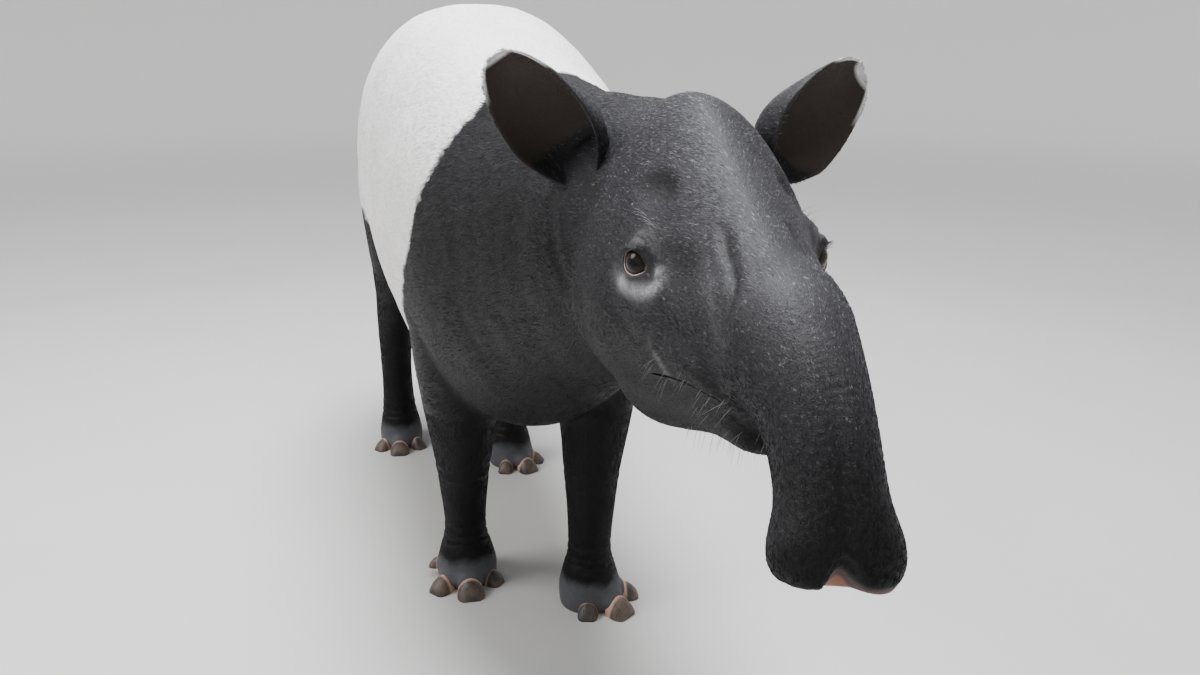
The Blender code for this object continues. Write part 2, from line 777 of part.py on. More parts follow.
def cuts(collection):
    """The thin plates and shells that part the flesh into nodes."""
    head_turn = Matrix.Rotation(HEAD_YAW, 4, "Z") @ Matrix.Rotation(HEAD_PITCH, 4, "X")
    made = []
    made.append(
        slab(
            (0.0, -0.125, 0.715),
            Matrix.Rotation(math.radians(-16.0), 4, "X"),
            (0.60, 0.62),
            "neck_cut",
            collection,
        )
    )
    matrix = head_matrix()
    made.append(
        slab(
            matrix @ Vector((0.0, 0.075, -0.110)),
            head_turn @ Matrix.Rotation(math.radians(-12.0), 4, "X"),
            (0.46, 0.60),
            "head_cut",
            collection,
        )
    )
    made.append(
        slab(
            matrix @ Vector((0.0, -0.448, -0.118)),
            head_turn @ Matrix.Rotation(math.radians(35.0), 4, "X"),
            (0.20, 0.126),
            "proboscis_cut",
            collection,
        )
    )
    made.append(
        slab(
            (RUMP_X, TAIL_STARTS, 0.860),
            Matrix.Identity(4),
            (0.12, 0.14),
            "tail_cut",
            collection,
        )
    )
    for leg, (x, y) in FOOT_AT.items():
        made.append(
            slab((x, y, 0.098), Matrix.Rotation(math.pi / 2, 4, "X"), (0.16, 0.20), "foot_cut", collection)
        )
        top_x, top_y = LEG_TOP[leg]
        if leg.startswith("front"):
            centre = (top_x, top_y + (y - top_y) * 0.4, 0.330)
            made.append(dome(centre, (0.108, 0.140, 0.205), "shoulder_cut", collection))
        else:
            centre = (top_x, top_y + (y - top_y) * 0.4, 0.370)
            made.append(dome(centre, (0.114, 0.170, 0.270), "hip_cut", collection))
    return made


def node_places():
    """A point in the middle of each node of flesh."""
    head_at = head_matrix()
    places = {
        "torso": Vector((0.02, 0.40, 0.70)),
        "neck": Vector((0.02, -0.27, 0.74)),
        "head": head_at @ Vector((0.0, -0.17, -0.09)),
        "proboscis": head_at @ Vector((0.0, -0.48, -0.16)),
        "tail": Vector((RUMP_X, 1.086, 0.80)),
    }
    for leg, (x, y) in FOOT_AT.items():
        places[leg + "_leg"] = Vector((x, y, 0.28))
        places[leg + "_foot"] = Vector((x, y, 0.05))
    return places


def components(bm):
    """The separate closed surfaces of a mesh, each as a list of faces."""
    seen, made = set(), []
    for seed in bm.faces:
        if seed in seen:
            continue
        seen.add(seed)
        found, stack = [], [seed]
        while stack:
            face = stack.pop()
            found.append(face)
            for edge in face.edges:
                for other in edge.link_faces:
                    if other not in seen:
                        seen.add(other)
                        stack.append(other)
        made.append(found)
    return made


def body_of(faces):
    """A mesh of its own made from some faces of another."""
    made = bmesh.new()
    corners = dict.fromkeys(vertex for face in faces for vertex in face.verts)
    copies = {vertex: made.verts.new(vertex.co) for vertex in corners}
    for face in faces:
        made.faces.new([copies[vertex] for vertex in face.verts])
    return made


def distance_to(tree, place):
    """How far a place is from a closed body: nothing where it is inside."""
    nearest, _, _, away = tree.find_nearest(place)
    hits, start = 0, place
    while start is not None:
        start = tree.ray_cast(start, Vector((0.01, 0.02, 1.0)))[0]
        if start is not None:
            hits += 1
            start = start + Vector((0, 0, 1e-6))
    return 0.0 if hits % 2 else away


def part_nodes(flesh, collection):
    """Gives each separate body of the parted flesh its own named object, and drops loose scraps."""
    bm = bmesh.new()
    bm.from_mesh(flesh.data)
    bodies = [body_of(faces) for faces in components(bm)]
    trees = [BVHTree.FromBMesh(body) for body in bodies]
    for name, place in node_places().items():
        away = [distance_to(tree, place) for tree in trees]
        best = min(range(len(bodies)), key=lambda i: (away[i], -len(bodies[i].faces)))
        object_of(bodies[best].copy(), name, collection)
    for body in bodies:
        body.free()
    bm.free()
    bpy.data.objects.remove(flesh, do_unlink=True)


def finish(obj, material):
    obj.data.materials.clear()
    obj.data.materials.append(material)
    obj.data.shade_smooth()
    obj.data.set_sharp_from_angle(angle=math.radians(42))


def centre_on_floor(nodes):
    """Moves the whole animal so that the middle of its box stands on the origin."""
    points = [vertex.co for node in nodes for vertex in node.data.vertices]
    low = [min(p[i] for p in points) for i in range(3)]
    high = [max(p[i] for p in points) for i in range(3)]
    shift = Matrix.Translation((-(low[0] + high[0]) / 2, -(low[1] + high[1]) / 2, -low[2]))
    for node in nodes:
        node.data.transform(shift)


def main():
    clear_scene()
    forms = new_collection("forms")
    tools = new_collection("cutters")
    tapir = new_collection("malayan_tapir")
    torso(forms)
    head(forms)
    legs(forms)
    tail(forms)
    muscles(forms)
    flesh = fuse(forms, "flesh")
    model_head(flesh)
    fine = flesh.data.copy()
    thin_out(flesh)
    even_out(flesh, fine)
    bpy.data.meshes.remove(fine)
    for side in (-1, 1):
        boolean(flesh, ear(side, GAP, "ear_slot", tools), "DIFFERENCE")
        boolean(flesh, eyeball(side, EYE_RADIUS + GAP, "socket", tools), "DIFFERENCE")
        boolean(flesh, lid_opening(side, tools), "DIFFERENCE")
        boolean(flesh, nostril(side, tools), "DIFFERENCE")
    boolean(flesh, mouth_groove(tools), "DIFFERENCE")
    floor = bmesh.new()
    bmesh.ops.create_cube(floor, size=1.0)
    floor.transform(Matrix.Translation((0, 0.3, -0.1)) @ Matrix.Diagonal((1.0, 3.0, 0.2, 1.0)))
    boolean(flesh, object_of(floor, "floor", tools), "DIFFERENCE")
    for leg in FOOT_AT:
        for toe in toes_of(leg):
            boolean(flesh, hoof(leg, toe, GAP, "hoof_socket", tools), "DIFFERENCE")
    for cutter in cuts(tools):
        boolean(flesh, cutter, "DIFFERENCE")
    part_nodes(flesh, tapir)

    black = new_material("black_coat", COAT_BLACK)
    white = new_material("white_coat", COAT_WHITE)
    horn = new_material("hoof_horn", HOOF_HORN)
    brown = new_material("eye_brown", EYE_BROWN)
    for node in tapir.objects:
        finish(node, white if node.name == "torso" else black)
    for side, word in ((-1, "right"), (1, "left")):
        finish(eyeball(side, EYE_RADIUS, "eye_" + word, tapir), brown)
        finish(ear(side, 0.0, "ear_" + word, tapir), black)
    for leg in FOOT_AT:
        for toe in toes_of(leg):
            finish(hoof(leg, toe, 0.0, f"{leg}_hoof_{toe[0]}", tapir), horn)
    centre_on_floor(list(tapir.objects))
    bpy.data.collections.remove(forms)
    bpy.data.collections.remove(tools)


main()
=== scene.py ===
"""The looks of a life-size Malayan tapir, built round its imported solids.

One skin is lofted from the same forms as the solids, fused, folded and wrinkled, and it stands for all
the flesh, ears included. The coat, whiskers, lashes, eyes, lids and hooves are meshes of their own.
Lengths are metres. The raw frame is the one in which the forms are stated; SHIFT moves it to the row's.
"""

import math

import bmesh
import bpy
import numpy as np
from mathutils import Matrix, Vector
from mathutils.bvhtree import BVHTree


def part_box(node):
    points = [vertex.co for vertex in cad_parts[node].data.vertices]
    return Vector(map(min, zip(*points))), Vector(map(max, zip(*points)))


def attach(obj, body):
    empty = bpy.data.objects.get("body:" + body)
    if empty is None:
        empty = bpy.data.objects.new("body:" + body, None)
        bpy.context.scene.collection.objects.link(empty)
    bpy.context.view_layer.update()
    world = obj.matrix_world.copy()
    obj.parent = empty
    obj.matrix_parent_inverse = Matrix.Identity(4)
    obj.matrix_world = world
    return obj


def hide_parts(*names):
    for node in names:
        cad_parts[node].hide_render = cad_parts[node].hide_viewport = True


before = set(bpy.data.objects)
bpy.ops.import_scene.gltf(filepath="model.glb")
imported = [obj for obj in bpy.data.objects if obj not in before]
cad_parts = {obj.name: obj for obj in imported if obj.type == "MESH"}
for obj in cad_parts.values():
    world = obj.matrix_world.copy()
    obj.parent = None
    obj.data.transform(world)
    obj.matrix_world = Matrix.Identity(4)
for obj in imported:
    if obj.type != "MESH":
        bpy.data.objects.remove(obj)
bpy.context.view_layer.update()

VOXEL = 0.0050
ROUNDING_STEPS = 12
COAT_DEPTH = 0.0012
TUFTS = 300000
RING_POINTS = 64
RANDOM = np.random.default_rng(7)
LASHES = 38
FRINGE = 420
LARGEST_PIECE = 48000

# The camera in the raw frame, with angles in degrees and the focal length in pixels of a 1200 wide frame
CAMERA_AT = (-0.445, -1.495, 1.013)
CAMERA_YAW = 20.73
CAMERA_PITCH = 17.53
CAMERA_FOCUS = 954.0
PHOTO_WIDTH = 1200
SENSOR_WIDTH = 36.0

# The lights in the row's frame: name, place, target, size, power, tint
LIGHTS = (
    ("key", (0.2, -1.8, 4.2), (0.0, -0.4, 0.8), 2.0, 62, (1.0, 0.98, 0.95)),
    ("top", (0.2, 0.4, 4.2), (0.0, -0.2, 0.8), 2.0, 420, (0.95, 0.97, 1.0)),
    ("side", (-3.2, 0.6, 3.2), (0.0, 0.4, 0.7), 2.2, 135, (1.0, 1.0, 1.0)),
)

SIDEWAYS = Vector((1, 0, 0))
UPWARD = Vector((0, 0, 1))

# The stance: where each foot's middle stands, and the joints above it
FOOT_AT = {
    "front_right": (-0.103, 0.145),
    "front_left": (0.093, -0.017),
    "hind_right": (-0.114, 0.845),
    "hind_left": (0.120, 0.630),
}
LEG_TOP = {
    "front_right": (-0.118, 0.060),
    "front_left": (0.138, 0.050),
    "hind_right": (-0.088, 0.800),
    "hind_left": (0.172, 0.790),
}

# The head's own frame: its origin is the nape, and it looks along its own -Y
HEAD_AT = Vector((0.046, -0.471, 0.886))
HEAD_PITCH = math.radians(3.4)
HEAD_YAW = math.radians(-12.0)

# Torso and neck, front to back: y, top, bottom, half width, widest level, shift in x, squareness on top
TORSO = (
    (-0.520, 0.930, 0.620, 0.118, 0.790, 0.046, 2.00),
    (-0.420, 0.942, 0.580, 0.136, 0.775, 0.040, 2.00),
    (-0.320, 0.944, 0.540, 0.150, 0.745, 0.028, 2.00),
    (-0.220, 0.946, 0.485, 0.168, 0.715, 0.018, 2.00),
    (-0.120, 0.955, 0.420, 0.192, 0.680, 0.012, 2.05),
    (-0.020, 0.976, 0.364, 0.213, 0.655, 0.010, 2.15),
    (0.100, 1.011, 0.350, 0.226, 0.650, 0.014, 2.30),
    (0.240, 1.043, 0.362, 0.237, 0.655, 0.024, 2.40),
    (0.400, 1.070, 0.386, 0.248, 0.672, 0.038, 2.40),
    (0.550, 1.078, 0.420, 0.250, 0.700, 0.048, 2.35),
    (0.700, 1.073, 0.466, 0.242, 0.728, 0.050, 2.25),
    (0.820, 1.048, 0.515, 0.218, 0.752, 0.047, 2.10),
    (0.920, 1.003, 0.575, 0.178, 0.770, 0.044, 2.00),
    (0.990, 0.944, 0.640, 0.124, 0.785, 0.042, 2.00),
    (1.030, 0.880, 0.715, 0.064, 0.795, 0.042, 2.00),
)

# Skull and muzzle in the head's frame: forward, top, bottom, half width, widest level
SKULL = (
    (-0.100, 0.020, -0.270, 0.122, -0.150),
    (-0.040, 0.048, -0.290, 0.130, -0.155),
    (0.020, 0.070, -0.292, 0.132, -0.160),
    (0.080, 0.070, -0.282, 0.129, -0.160),
    (0.140, 0.052, -0.262, 0.121, -0.150),
    (0.200, 0.026, -0.236, 0.108, -0.135),
    (0.260, 0.002, -0.210, 0.092, -0.122),
    (0.320, -0.018, -0.188, 0.077, -0.112),
    (0.370, -0.033, -0.174, 0.064, -0.108),
    (0.410, -0.046, -0.166, 0.055, -0.108),
)

# Lower jaw in the head's frame, in the same columns
JAW = (
    (0.010, -0.160, -0.302, 0.098, -0.215),
    (0.080, -0.160, -0.316, 0.094, -0.215),
    (0.150, -0.150, -0.291, 0.082, -0.205),
    (0.220, -0.150, -0.260, 0.066, -0.198),
    (0.290, -0.150, -0.231, 0.054, -0.186),
    (0.350, -0.150, -0.211, 0.046, -0.180),
    (0.380, -0.156, -0.203, 0.040, -0.178),
    (0.397, -0.164, -0.194, 0.026, -0.179),
)

# Proboscis spine in the head's frame: forward, height, half width, half depth
PROBOSCIS = (
    (0.340, -0.086, 0.064, 0.060),
    (0.380, -0.091, 0.060, 0.060),
    (0.415, -0.104, 0.053, 0.056),
    (0.448, -0.122, 0.047, 0.050),
    (0.476, -0.146, 0.0435, 0.046),
    (0.500, -0.176, 0.0445, 0.042),
    (0.511, -0.193, 0.0510, 0.041),
    (0.521, -0.209, 0.0555, 0.040),
    (0.530, -0.223, 0.0520, 0.037),
    (0.535, -0.231, 0.0430, 0.032),
)
PROBOSCIS_ROLL = math.radians(8.0)

# Front leg, top to foot: height, share of the way from shoulder to foot, half width, half depth
FRONT_LEG = (
    (0.700, 0.00, 0.068, 0.110),
    (0.590, 0.00, 0.082, 0.122),
    (0.480, 0.15, 0.080, 0.106),
    (0.390, 0.35, 0.070, 0.088),
    (0.300, 0.60, 0.058, 0.068),
    (0.225, 0.80, 0.049, 0.055),
    (0.155, 0.93, 0.042, 0.047),
    (0.105, 1.00, 0.041, 0.045),
    (0.062, 1.00, 0.052, 0.056),
    (0.030, 1.00, 0.059, 0.060),
    (-0.012, 1.00, 0.056, 0.056),
)

# Hind leg, in the same columns, with the distance behind the straight line last
HIND_LEG = (
    (0.800, 0.00, 0.080, 0.130, -0.010),
    (0.690, 0.05, 0.094, 0.155, -0.025),
    (0.570, 0.15, 0.086, 0.138, -0.045),
    (0.470, 0.30, 0.070, 0.104, -0.028),
    (0.390, 0.50, 0.056, 0.076, 0.012),
    (0.315, 0.70, 0.046, 0.060, 0.048),
    (0.245, 0.82, 0.042, 0.050, 0.046),
    (0.165, 0.93, 0.039, 0.043, 0.026),
    (0.105, 1.00, 0.042, 0.045, 0.008),
    (0.062, 1.00, 0.050, 0.053, 0.000),
    (0.028, 1.00, 0.055, 0.057, 0.000),
    (-0.012, 1.00, 0.051, 0.053, 0.000),
)

# Toes: name, turn outwards in degrees, reach of the hoof's back face, half width, height, lift
FRONT_TOES = (
    ("2", -50.0, 0.046, 0.0195, 0.034, 0.000),
    ("3", 0.0, 0.060, 0.0265, 0.040, 0.000),
    ("4", 48.0, 0.056, 0.0215, 0.037, 0.000),
    ("5", 104.0, 0.050, 0.0130, 0.026, 0.018),
)
HIND_TOES = (
    ("2", -44.0, 0.050, 0.0185, 0.034, 0.000),
    ("3", 0.0, 0.060, 0.0245, 0.038, 0.000),
    ("4", 44.0, 0.050, 0.0190, 0.034, 0.000),
)
TOE_TURN = {"front_right": 9.0, "front_left": 27.0, "hind_right": 14.0, "hind_left": 18.0}
HOOF_LENGTH = 0.98

# Share of a toe's reach, and the toe's size there
TOE_SHAPE = ((0.0, 0.92), (0.5, 1.06), (0.85, 1.07), (1.15, 0.92), (1.30, 0.55))

# Share of a hoof's length, with its width and height there, and the steps of its mesh
HOOF_SHAPE = ((0.0, 0.90, 0.86), (0.30, 0.99, 0.84), (0.62, 1.00, 0.66), (0.86, 0.88, 0.40), (1.0, 0.62, 0.18))
HOOF_ROWS = 18
HOOF_COLUMNS = 48
SOLE_COLUMNS = 8
HOOF_INSET = 0.0006

# Swellings and hollows of the head, for the left side: centre, reach each way, move. They are the hollows
# above and beside the eye and nose, the corner of the eye, the cheek, the upper lip and the back of the jaw
HEAD_FORMS = (
    ((0.066, -0.176, -0.012), (0.034, 0.044, 0.030), (-0.012, 0.0, -0.004)),
    ((0.062, -0.272, -0.066), (0.030, 0.070, 0.034), (-0.011, 0.0, 0.0)),
    ((0.094, -0.236, -0.073), (0.022, 0.026, 0.024), (-0.006, 0.0, 0.0)),
    ((0.098, -0.120, -0.160), (0.050, 0.090, 0.070), (0.010, 0.0, 0.0)),
    ((0.070, -0.345, -0.136), (0.040, 0.060, 0.032), (0.007, 0.0, 0.0)),
    ((0.110, 0.030, -0.130), (0.050, 0.036, 0.120), (-0.012, 0.0, 0.0)),
)

# The proboscis tip: a lobe under each nostril, and the notch between them, all a little to the right
TIP_LOBE = ((0.030, -0.560, -0.218), (0.027, 0.032, 0.028), (0.0, -0.005, -0.003))
TIP_NOTCH = ((0.0, -0.566, -0.214), (0.019, 0.034, 0.032), (0.0, 0.012, 0.011))
TIP_ASIDE = Vector((-0.006, 0.0, 0.0))

# Ears, in the head's frame, stated for the left side: the right one (-1) stands up more than the left (1)
EAR_ROOT = Vector((0.1245, 0.014, -0.001))
EAR_AXIS = {-1: Vector((0.56, 0.07, 0.82)), 1: Vector((0.71, 0.34, 0.62))}
EAR_MOUTH = {-1: Vector((0.58, -0.74, -0.33)), 1: Vector((0.52, -0.85, -0.13))}
EAR_LENGTH = 0.140
EAR_HALF_WIDTH = 0.064
EAR_ROOTED = 0.22
EAR_END = 0.9985
EAR_FLOOR = 0.022
EAR_THICK = 0.0052
EAR_THIN = 0.0026

# Eyes, in the head's frame, for the left side
EYE_AT = Vector((0.0855, -0.206, -0.073))
EYE_LOOK = Vector((0.82, -0.56, 0.09))
EYE_RADIUS = 0.0185
LID_THICKNESS = 0.0042
LID_HALF_WIDTH = 0.0160
LID_HALF_HEIGHT = 0.0135
LID_POINTS = 72

# Mouth line and nostrils, in the head's frame
MOUTH = (
    (0.078, 0.236, -0.180),
    (0.073, 0.280, -0.167),
    (0.064, 0.330, -0.156),
    (0.050, 0.372, -0.153),
    (0.030, 0.398, -0.155),
    (0.000, 0.408, -0.156),
)
MOUTH_HALF_GAP = 0.0020
MOUTH_HALF_DEPTH = 0.010
NOSTRIL_AT = Vector((0.0225, 0.537, -0.228))
NOSTRIL_SIZE = (0.0120, 0.0160, 0.0190)

# Tail, from the rump backwards and down: y, height, radius
RUMP_X = 0.043
TAIL = (
    (0.960, 0.902, 0.040),
    (1.012, 0.890, 0.034),
    (1.054, 0.864, 0.028),
    (1.080, 0.826, 0.023),
    (1.090, 0.784, 0.018),
    (1.092, 0.756, 0.010),
)

# The bulging upper lid and the pouch under the eye, in the same columns as HEAD_FORMS
LID_FORMS = (
    ((0.098, -0.212, -0.054), (0.016, 0.022, 0.010), (0.0055, -0.0030, -0.001)),
    ((0.102, -0.206, -0.100), (0.020, 0.030, 0.012), (0.0030, -0.0010, 0.0)),
)

# Folds of the skin, as paths in the head's frame for the left side: side, forward, height
NOSE_GROOVE = (
    (0.030, 0.285, -0.016),
    (0.037, 0.322, -0.031),
    (0.042, 0.365, -0.044),
    (0.050, 0.382, -0.058),
    (0.056, 0.392, -0.078),
)
LIP_RIDGE = (
    (0.090, 0.262, -0.136),
    (0.079, 0.318, -0.126),
    (0.067, 0.362, -0.130),
    (0.052, 0.392, -0.146),
    (0.036, 0.408, -0.160),
)
LIP_FOLD = ((0.094, 0.240, -0.118), (0.086, 0.290, -0.106), (0.074, 0.345, -0.102), (0.064, 0.385, -0.108))
MOUTH_END = ((0.090, 0.232, -0.150), (0.086, 0.228, -0.164), (0.080, 0.232, -0.178))
CHEEK_FOLD = ((0.116, 0.150, -0.110), (0.112, 0.185, -0.128), (0.102, 0.225, -0.134))
NECK_FOLDS = (
    ((0.134, -0.030, -0.020), (0.142, -0.030, -0.070), (0.140, -0.016, -0.120), (0.132, 0.004, -0.165)),
    ((0.140, -0.066, -0.010), (0.152, -0.070, -0.070), (0.150, -0.052, -0.130), (0.140, -0.030, -0.190)),
    ((0.140, -0.105, -0.030), (0.150, -0.110, -0.090), (0.148, -0.095, -0.160)),
)
TRUNK_LINE = (
    (0.0, 0.440, -0.072),
    (0.0, 0.490, -0.100),
    (-0.002, 0.530, -0.150),
    (-0.005, 0.552, -0.190),
    (-0.006, 0.566, -0.220),
)
THROAT_FOLDS = (
    ((0.0, 0.020, -0.306), (0.050, 0.020, -0.290), (0.090, 0.015, -0.255)),
    ((0.0, -0.030, -0.316), (0.055, -0.030, -0.296), (0.100, -0.035, -0.255)),
)
EYE_PATCH = (
    (0.110, 0.172, -0.094),
    (0.104, 0.200, -0.098),
    (0.095, 0.232, -0.095),
    (0.086, 0.256, -0.084),
    (0.079, 0.262, -0.070),
)
LID_FOLD = ((0.107, 0.176, -0.064), (0.102, 0.194, -0.049), (0.093, 0.220, -0.045), (0.084, 0.242, -0.056))
EYE_SPOT = ((0.083, 0.240, -0.073), (0.078, 0.250, -0.071), (0.074, 0.258, -0.069))
BROW_ARC = ((0.106, 0.180, -0.060), (0.098, 0.198, -0.046), (0.086, 0.224, -0.046), (0.080, 0.242, -0.058))
# A lighter band along the ridge beside the nose groove: painted highlight
NOSE_RIDGE_HIGHLIGHT = ((0.050, 0.290, -0.046), (0.053, 0.330, -0.056), (0.057, 0.370, -0.074), (0.056, 0.400, -0.100))
MOUTH_PALE = ((0.085, 0.262, -0.142), (0.079, 0.274, -0.156), (0.069, 0.276, -0.176))

# Each crease of the head and neck on the left side: path, depth, width, and the swelling beside it
CREASES = (
    (NOSE_GROOVE, 0.0042, 0.0062, 0.20),
    (LIP_FOLD, 0.0016, 0.0060),
    (LIP_RIDGE, -0.0042, 0.0085, 0.15),
    (LID_FOLD, 0.0020, 0.0030, 0.5),
    (MOUTH_END, 0.0022, 0.0040),
    (CHEEK_FOLD, 0.0014, 0.0070),
    *((fold, 0.0042, 0.0085) for fold in NECK_FOLDS),
    *((fold, 0.0024, 0.0070) for fold in THROAT_FOLDS),
)

# Radius and depth of the folds round the lids, y and strength of those by the shoulder, height and depth on the legs
LID_RINGS = ((0.0265, 0.0011), (0.0325, 0.0009), (0.0400, 0.0006))
SHOULDER_FOLDS = ((-0.165, 1.0), (-0.215, 0.8), (-0.270, 0.9), (-0.330, 0.7))
LEG_WRINKLES = ((0.088, 0.0016), (0.104, 0.0012), (0.125, 0.0010), (0.235, 0.0010), (0.262, 0.0010))

# Pale hair of the face along paths, and a painted highlight along the ridge beside the nose groove: path, strength,
# half width
PALE_PATHS = (
    (EYE_PATCH, 0.88, 0.0084),
    (EYE_SPOT, 0.90, 0.0052),
    (BROW_ARC, 0.22, 0.0060),
    (NOSE_RIDGE_HIGHLIGHT, 0.10, 0.0120),
    (MOUTH_PALE, 0.32, 0.0065),
)

# The hollow over the eye, which gets painted shade, in the head's frame for the left side: centre, reach each way
EYE_HOLLOW = ((0.074, -0.190, -0.024), (0.020, 0.026, 0.016))

# Front edge of the white saddle on the flank: height, y
SADDLE_FRONT = (
    (0.300, 0.275),
    (0.400, 0.215),
    (0.450, 0.185),
    (0.600, 0.079),
    (0.705, 0.004),
    (0.797, -0.040),
    (0.850, -0.058),
    (0.900, -0.084),
    (0.950, -0.075),
    (1.100, -0.060),
)
# Lower edge of the white on the rump: y, height
SADDLE_REAR = (
    (0.380, 0.250),
    (0.440, 0.400),
    (0.520, 0.500),
    (0.620, 0.580),
    (0.760, 0.622),
    (0.900, 0.660),
    (0.980, 0.700),
    (1.040, 0.760),
    (1.120, 0.800),
)


def unit(value):
    """A share held between 0 and 1."""
    return np.clip(value, 0, 1)


def bell(distance, width):
    return np.exp(-((distance / width) ** 2))


def linked(name, data):
    made = bpy.data.objects.new(name, data)
    bpy.context.scene.collection.objects.link(made)
    return made


def mesh_from(bm, name):
    mesh = bpy.data.meshes.new(name)
    bm.to_mesh(mesh)
    bm.free()
    return mesh


def with_neighbours(rows):
    """Each row of a list between the row before it and the row after it."""
    return zip([rows[0], *rows[:-1]], rows, [*rows[1:], rows[-1]])


def bridge(bm, rings, closed=True):
    """Faces from each ring of vertices to the next."""
    count = len(rings[0])
    for low, high in zip(rings, rings[1:]):
        for k in range(count if closed else count - 1):
            n = (k + 1) % count
            bm.faces.new((low[k], low[n], high[n], high[k]))


def closed_body(bm, rings):
    bridge(bm, rings)
    bm.faces.new(rings[0])
    bm.faces.new(rings[-1])


def circle(bm, middle, across, up, radius, count):
    """New vertices round a point, in the plane of across and up."""
    turns = [math.tau * k / count for k in range(count)]
    return [bm.verts.new(middle + (across * math.cos(t) + up * math.sin(t)) * radius) for t in turns]


def object_of(bm, name, matrix=None):
    if matrix is not None:
        bm.transform(matrix)
    bm.normal_update()
    bmesh.ops.recalc_face_normals(bm, faces=bm.faces)
    return linked(name, mesh_from(bm, name))


def apply_modifiers(obj):
    bpy.context.view_layer.update()
    graph = bpy.context.evaluated_depsgraph_get()
    mesh = bpy.data.meshes.new_from_object(obj.evaluated_get(graph))
    old = obj.data
    obj.modifiers.clear()
    obj.data = mesh
    bpy.data.meshes.remove(old)


def smooth_rows(rows, steps):
    """A smooth curve through the rows of a table, with steps rows for each row given."""
    table = np.array(rows, float)
    padded = np.vstack([2 * table[0] - table[1], table, 2 * table[-1] - table[-2]])
    made = []
    for before, start, end, after in zip(padded, padded[1:], padded[2:], padded[3:]):
        slope = end - before
        bend = 2 * before - 5 * start + 4 * end - after
        twist = 3 * start - before - 3 * end + after
        for k in range(steps):
            t = k / steps
            made.append(0.5 * (2 * start + slope * t + bend * t**2 + twist * t**3))
    made.append(table[-1])
    return made


def ring(centre, across, up, half_width, rise, drop, top_power=2.0, low_power=2.0):
    """Points of a rounded section: half_width to each side, rise above its centre and drop below."""
    made = []
    for k in range(RING_POINTS):
        angle = math.tau * k / RING_POINTS
        cosine, sine = math.cos(angle), math.sin(angle)
        power, reach = (top_power, rise) if sine >= 0 else (low_power, drop)
        side = math.copysign(abs(cosine) ** (2 / power), cosine) * half_width
        height = math.copysign(abs(sine) ** (2 / power), sine) * reach
        made.append(Vector(centre) + across * side + up * height)
    return made


def loft(rings, name, matrix=None):
    """A closed body through the rings, with its two ends capped."""
    bm = bmesh.new()
    closed_body(bm, [[bm.verts.new(point) for point in points] for points in rings])
    return object_of(bm, name, matrix)


def ball(centre, radii, name, matrix=None, segments=32):
    bm = bmesh.new()
    bmesh.ops.create_uvsphere(bm, u_segments=segments, v_segments=segments // 2, radius=1.0)
    bm.transform(Matrix.Translation(Vector(centre)) @ Matrix.Diagonal((*radii, 1.0)))
    return object_of(bm, name, matrix)


def frame_along(forward, up_hint):
    """A matrix whose columns are sideways, along and up for a direction."""
    along = Vector(forward).normalized()
    side = along.cross(Vector(up_hint)).normalized()
    up = side.cross(along).normalized()
    return Matrix((side, along, up)).transposed().to_4x4()


HEAD = Matrix.Translation(HEAD_AT) @ Matrix.Rotation(HEAD_YAW, 4, "Z") @ Matrix.Rotation(HEAD_PITCH, 4, "X")
HEAD_TURN = np.array(HEAD)[:3, :3]


def mirrored(vector, side):
    return Vector((vector[0] * side, vector[1], vector[2]))


def box_rings(rows, top_power, low_power):
    """Rounded sections of the skull or jaw, in the head's frame."""
    made = []
    for forward, top, bottom, half_width, level in smooth_rows(rows, 6):
        centre = (0, -forward, level)
        made.append(ring(centre, SIDEWAYS, UPWARD, half_width, top - level, level - bottom, top_power, low_power))
    return made


def proboscis_rings():
    spine = smooth_rows(PROBOSCIS, 6)
    rings = []
    for before, (forward, height, half_width, half_depth), after in with_neighbours(spine):
        along = Vector((0, before[0] - after[0], after[1] - before[1])).normalized()
        up = SIDEWAYS.cross(along)
        up = up if up.z > 0 else -up
        rings.append(ring((0, -forward, height), SIDEWAYS, up, half_width, half_depth, half_depth, 2.1, 2.1))
    tip = Vector((0, -spine[-1][0], spine[-1][1]))
    for i, points in enumerate(rings):
        roll = Matrix.Rotation(PROBOSCIS_ROLL * (i / (len(rings) - 1)) ** 1.5, 3, "Y")
        rings[i] = [tip + roll @ (point - tip) for point in points]
    return rings


def leg_rings(rows, top, foot):
    made = []
    for height, share, half_width, half_depth, *behind in smooth_rows(rows, 6):
        x = top[0] + (foot[0] - top[0]) * share
        y = top[1] + (foot[1] - top[1]) * share + sum(behind)
        made.append(ring((x, y, height), SIDEWAYS, Vector((0, -1, 0)), half_width, half_depth, half_depth))
    return made


def toes_of(leg):
    return FRONT_TOES if leg.startswith("front") else HIND_TOES


def toe_matrix(leg, turn):
    """Places a toe's own frame, which points along -Y, on the floor under the middle of its foot."""
    side = -1 if leg.endswith("right") else 1
    x, y = FOOT_AT[leg]
    return Matrix.Translation((x, y, 0.0)) @ Matrix.Rotation(math.radians(side * (turn + TOE_TURN[leg])), 4, "Z")


def torso_rings():
    made = []
    for y, top, bottom, half_width, level, shift, power in smooth_rows(TORSO, 6):
        made.append(ring((shift, y, level), SIDEWAYS, UPWARD, half_width, top - level, level - bottom, power, 2.05))
    return made


def toe_rings(reach, half_width, height, lift):
    made = []
    for share, size in TOE_SHAPE:
        rise = height * size * 0.5
        centre = (0, -reach * share, lift + 0.002 + rise + 0.006 * (1 - share))
        made.append(ring(centre, SIDEWAYS, UPWARD, half_width * size * 0.97, rise, rise, 2.0, 2.4))
    return made


def tail_rings():
    made = []
    for before, (y, z, radius), after in with_neighbours(smooth_rows(TAIL, 4)):
        along = Vector((0, after[0] - before[0], after[1] - before[1])).normalized()
        made.append(ring((RUMP_X, y, z), SIDEWAYS, SIDEWAYS.cross(along), radius, radius, radius))
    return made


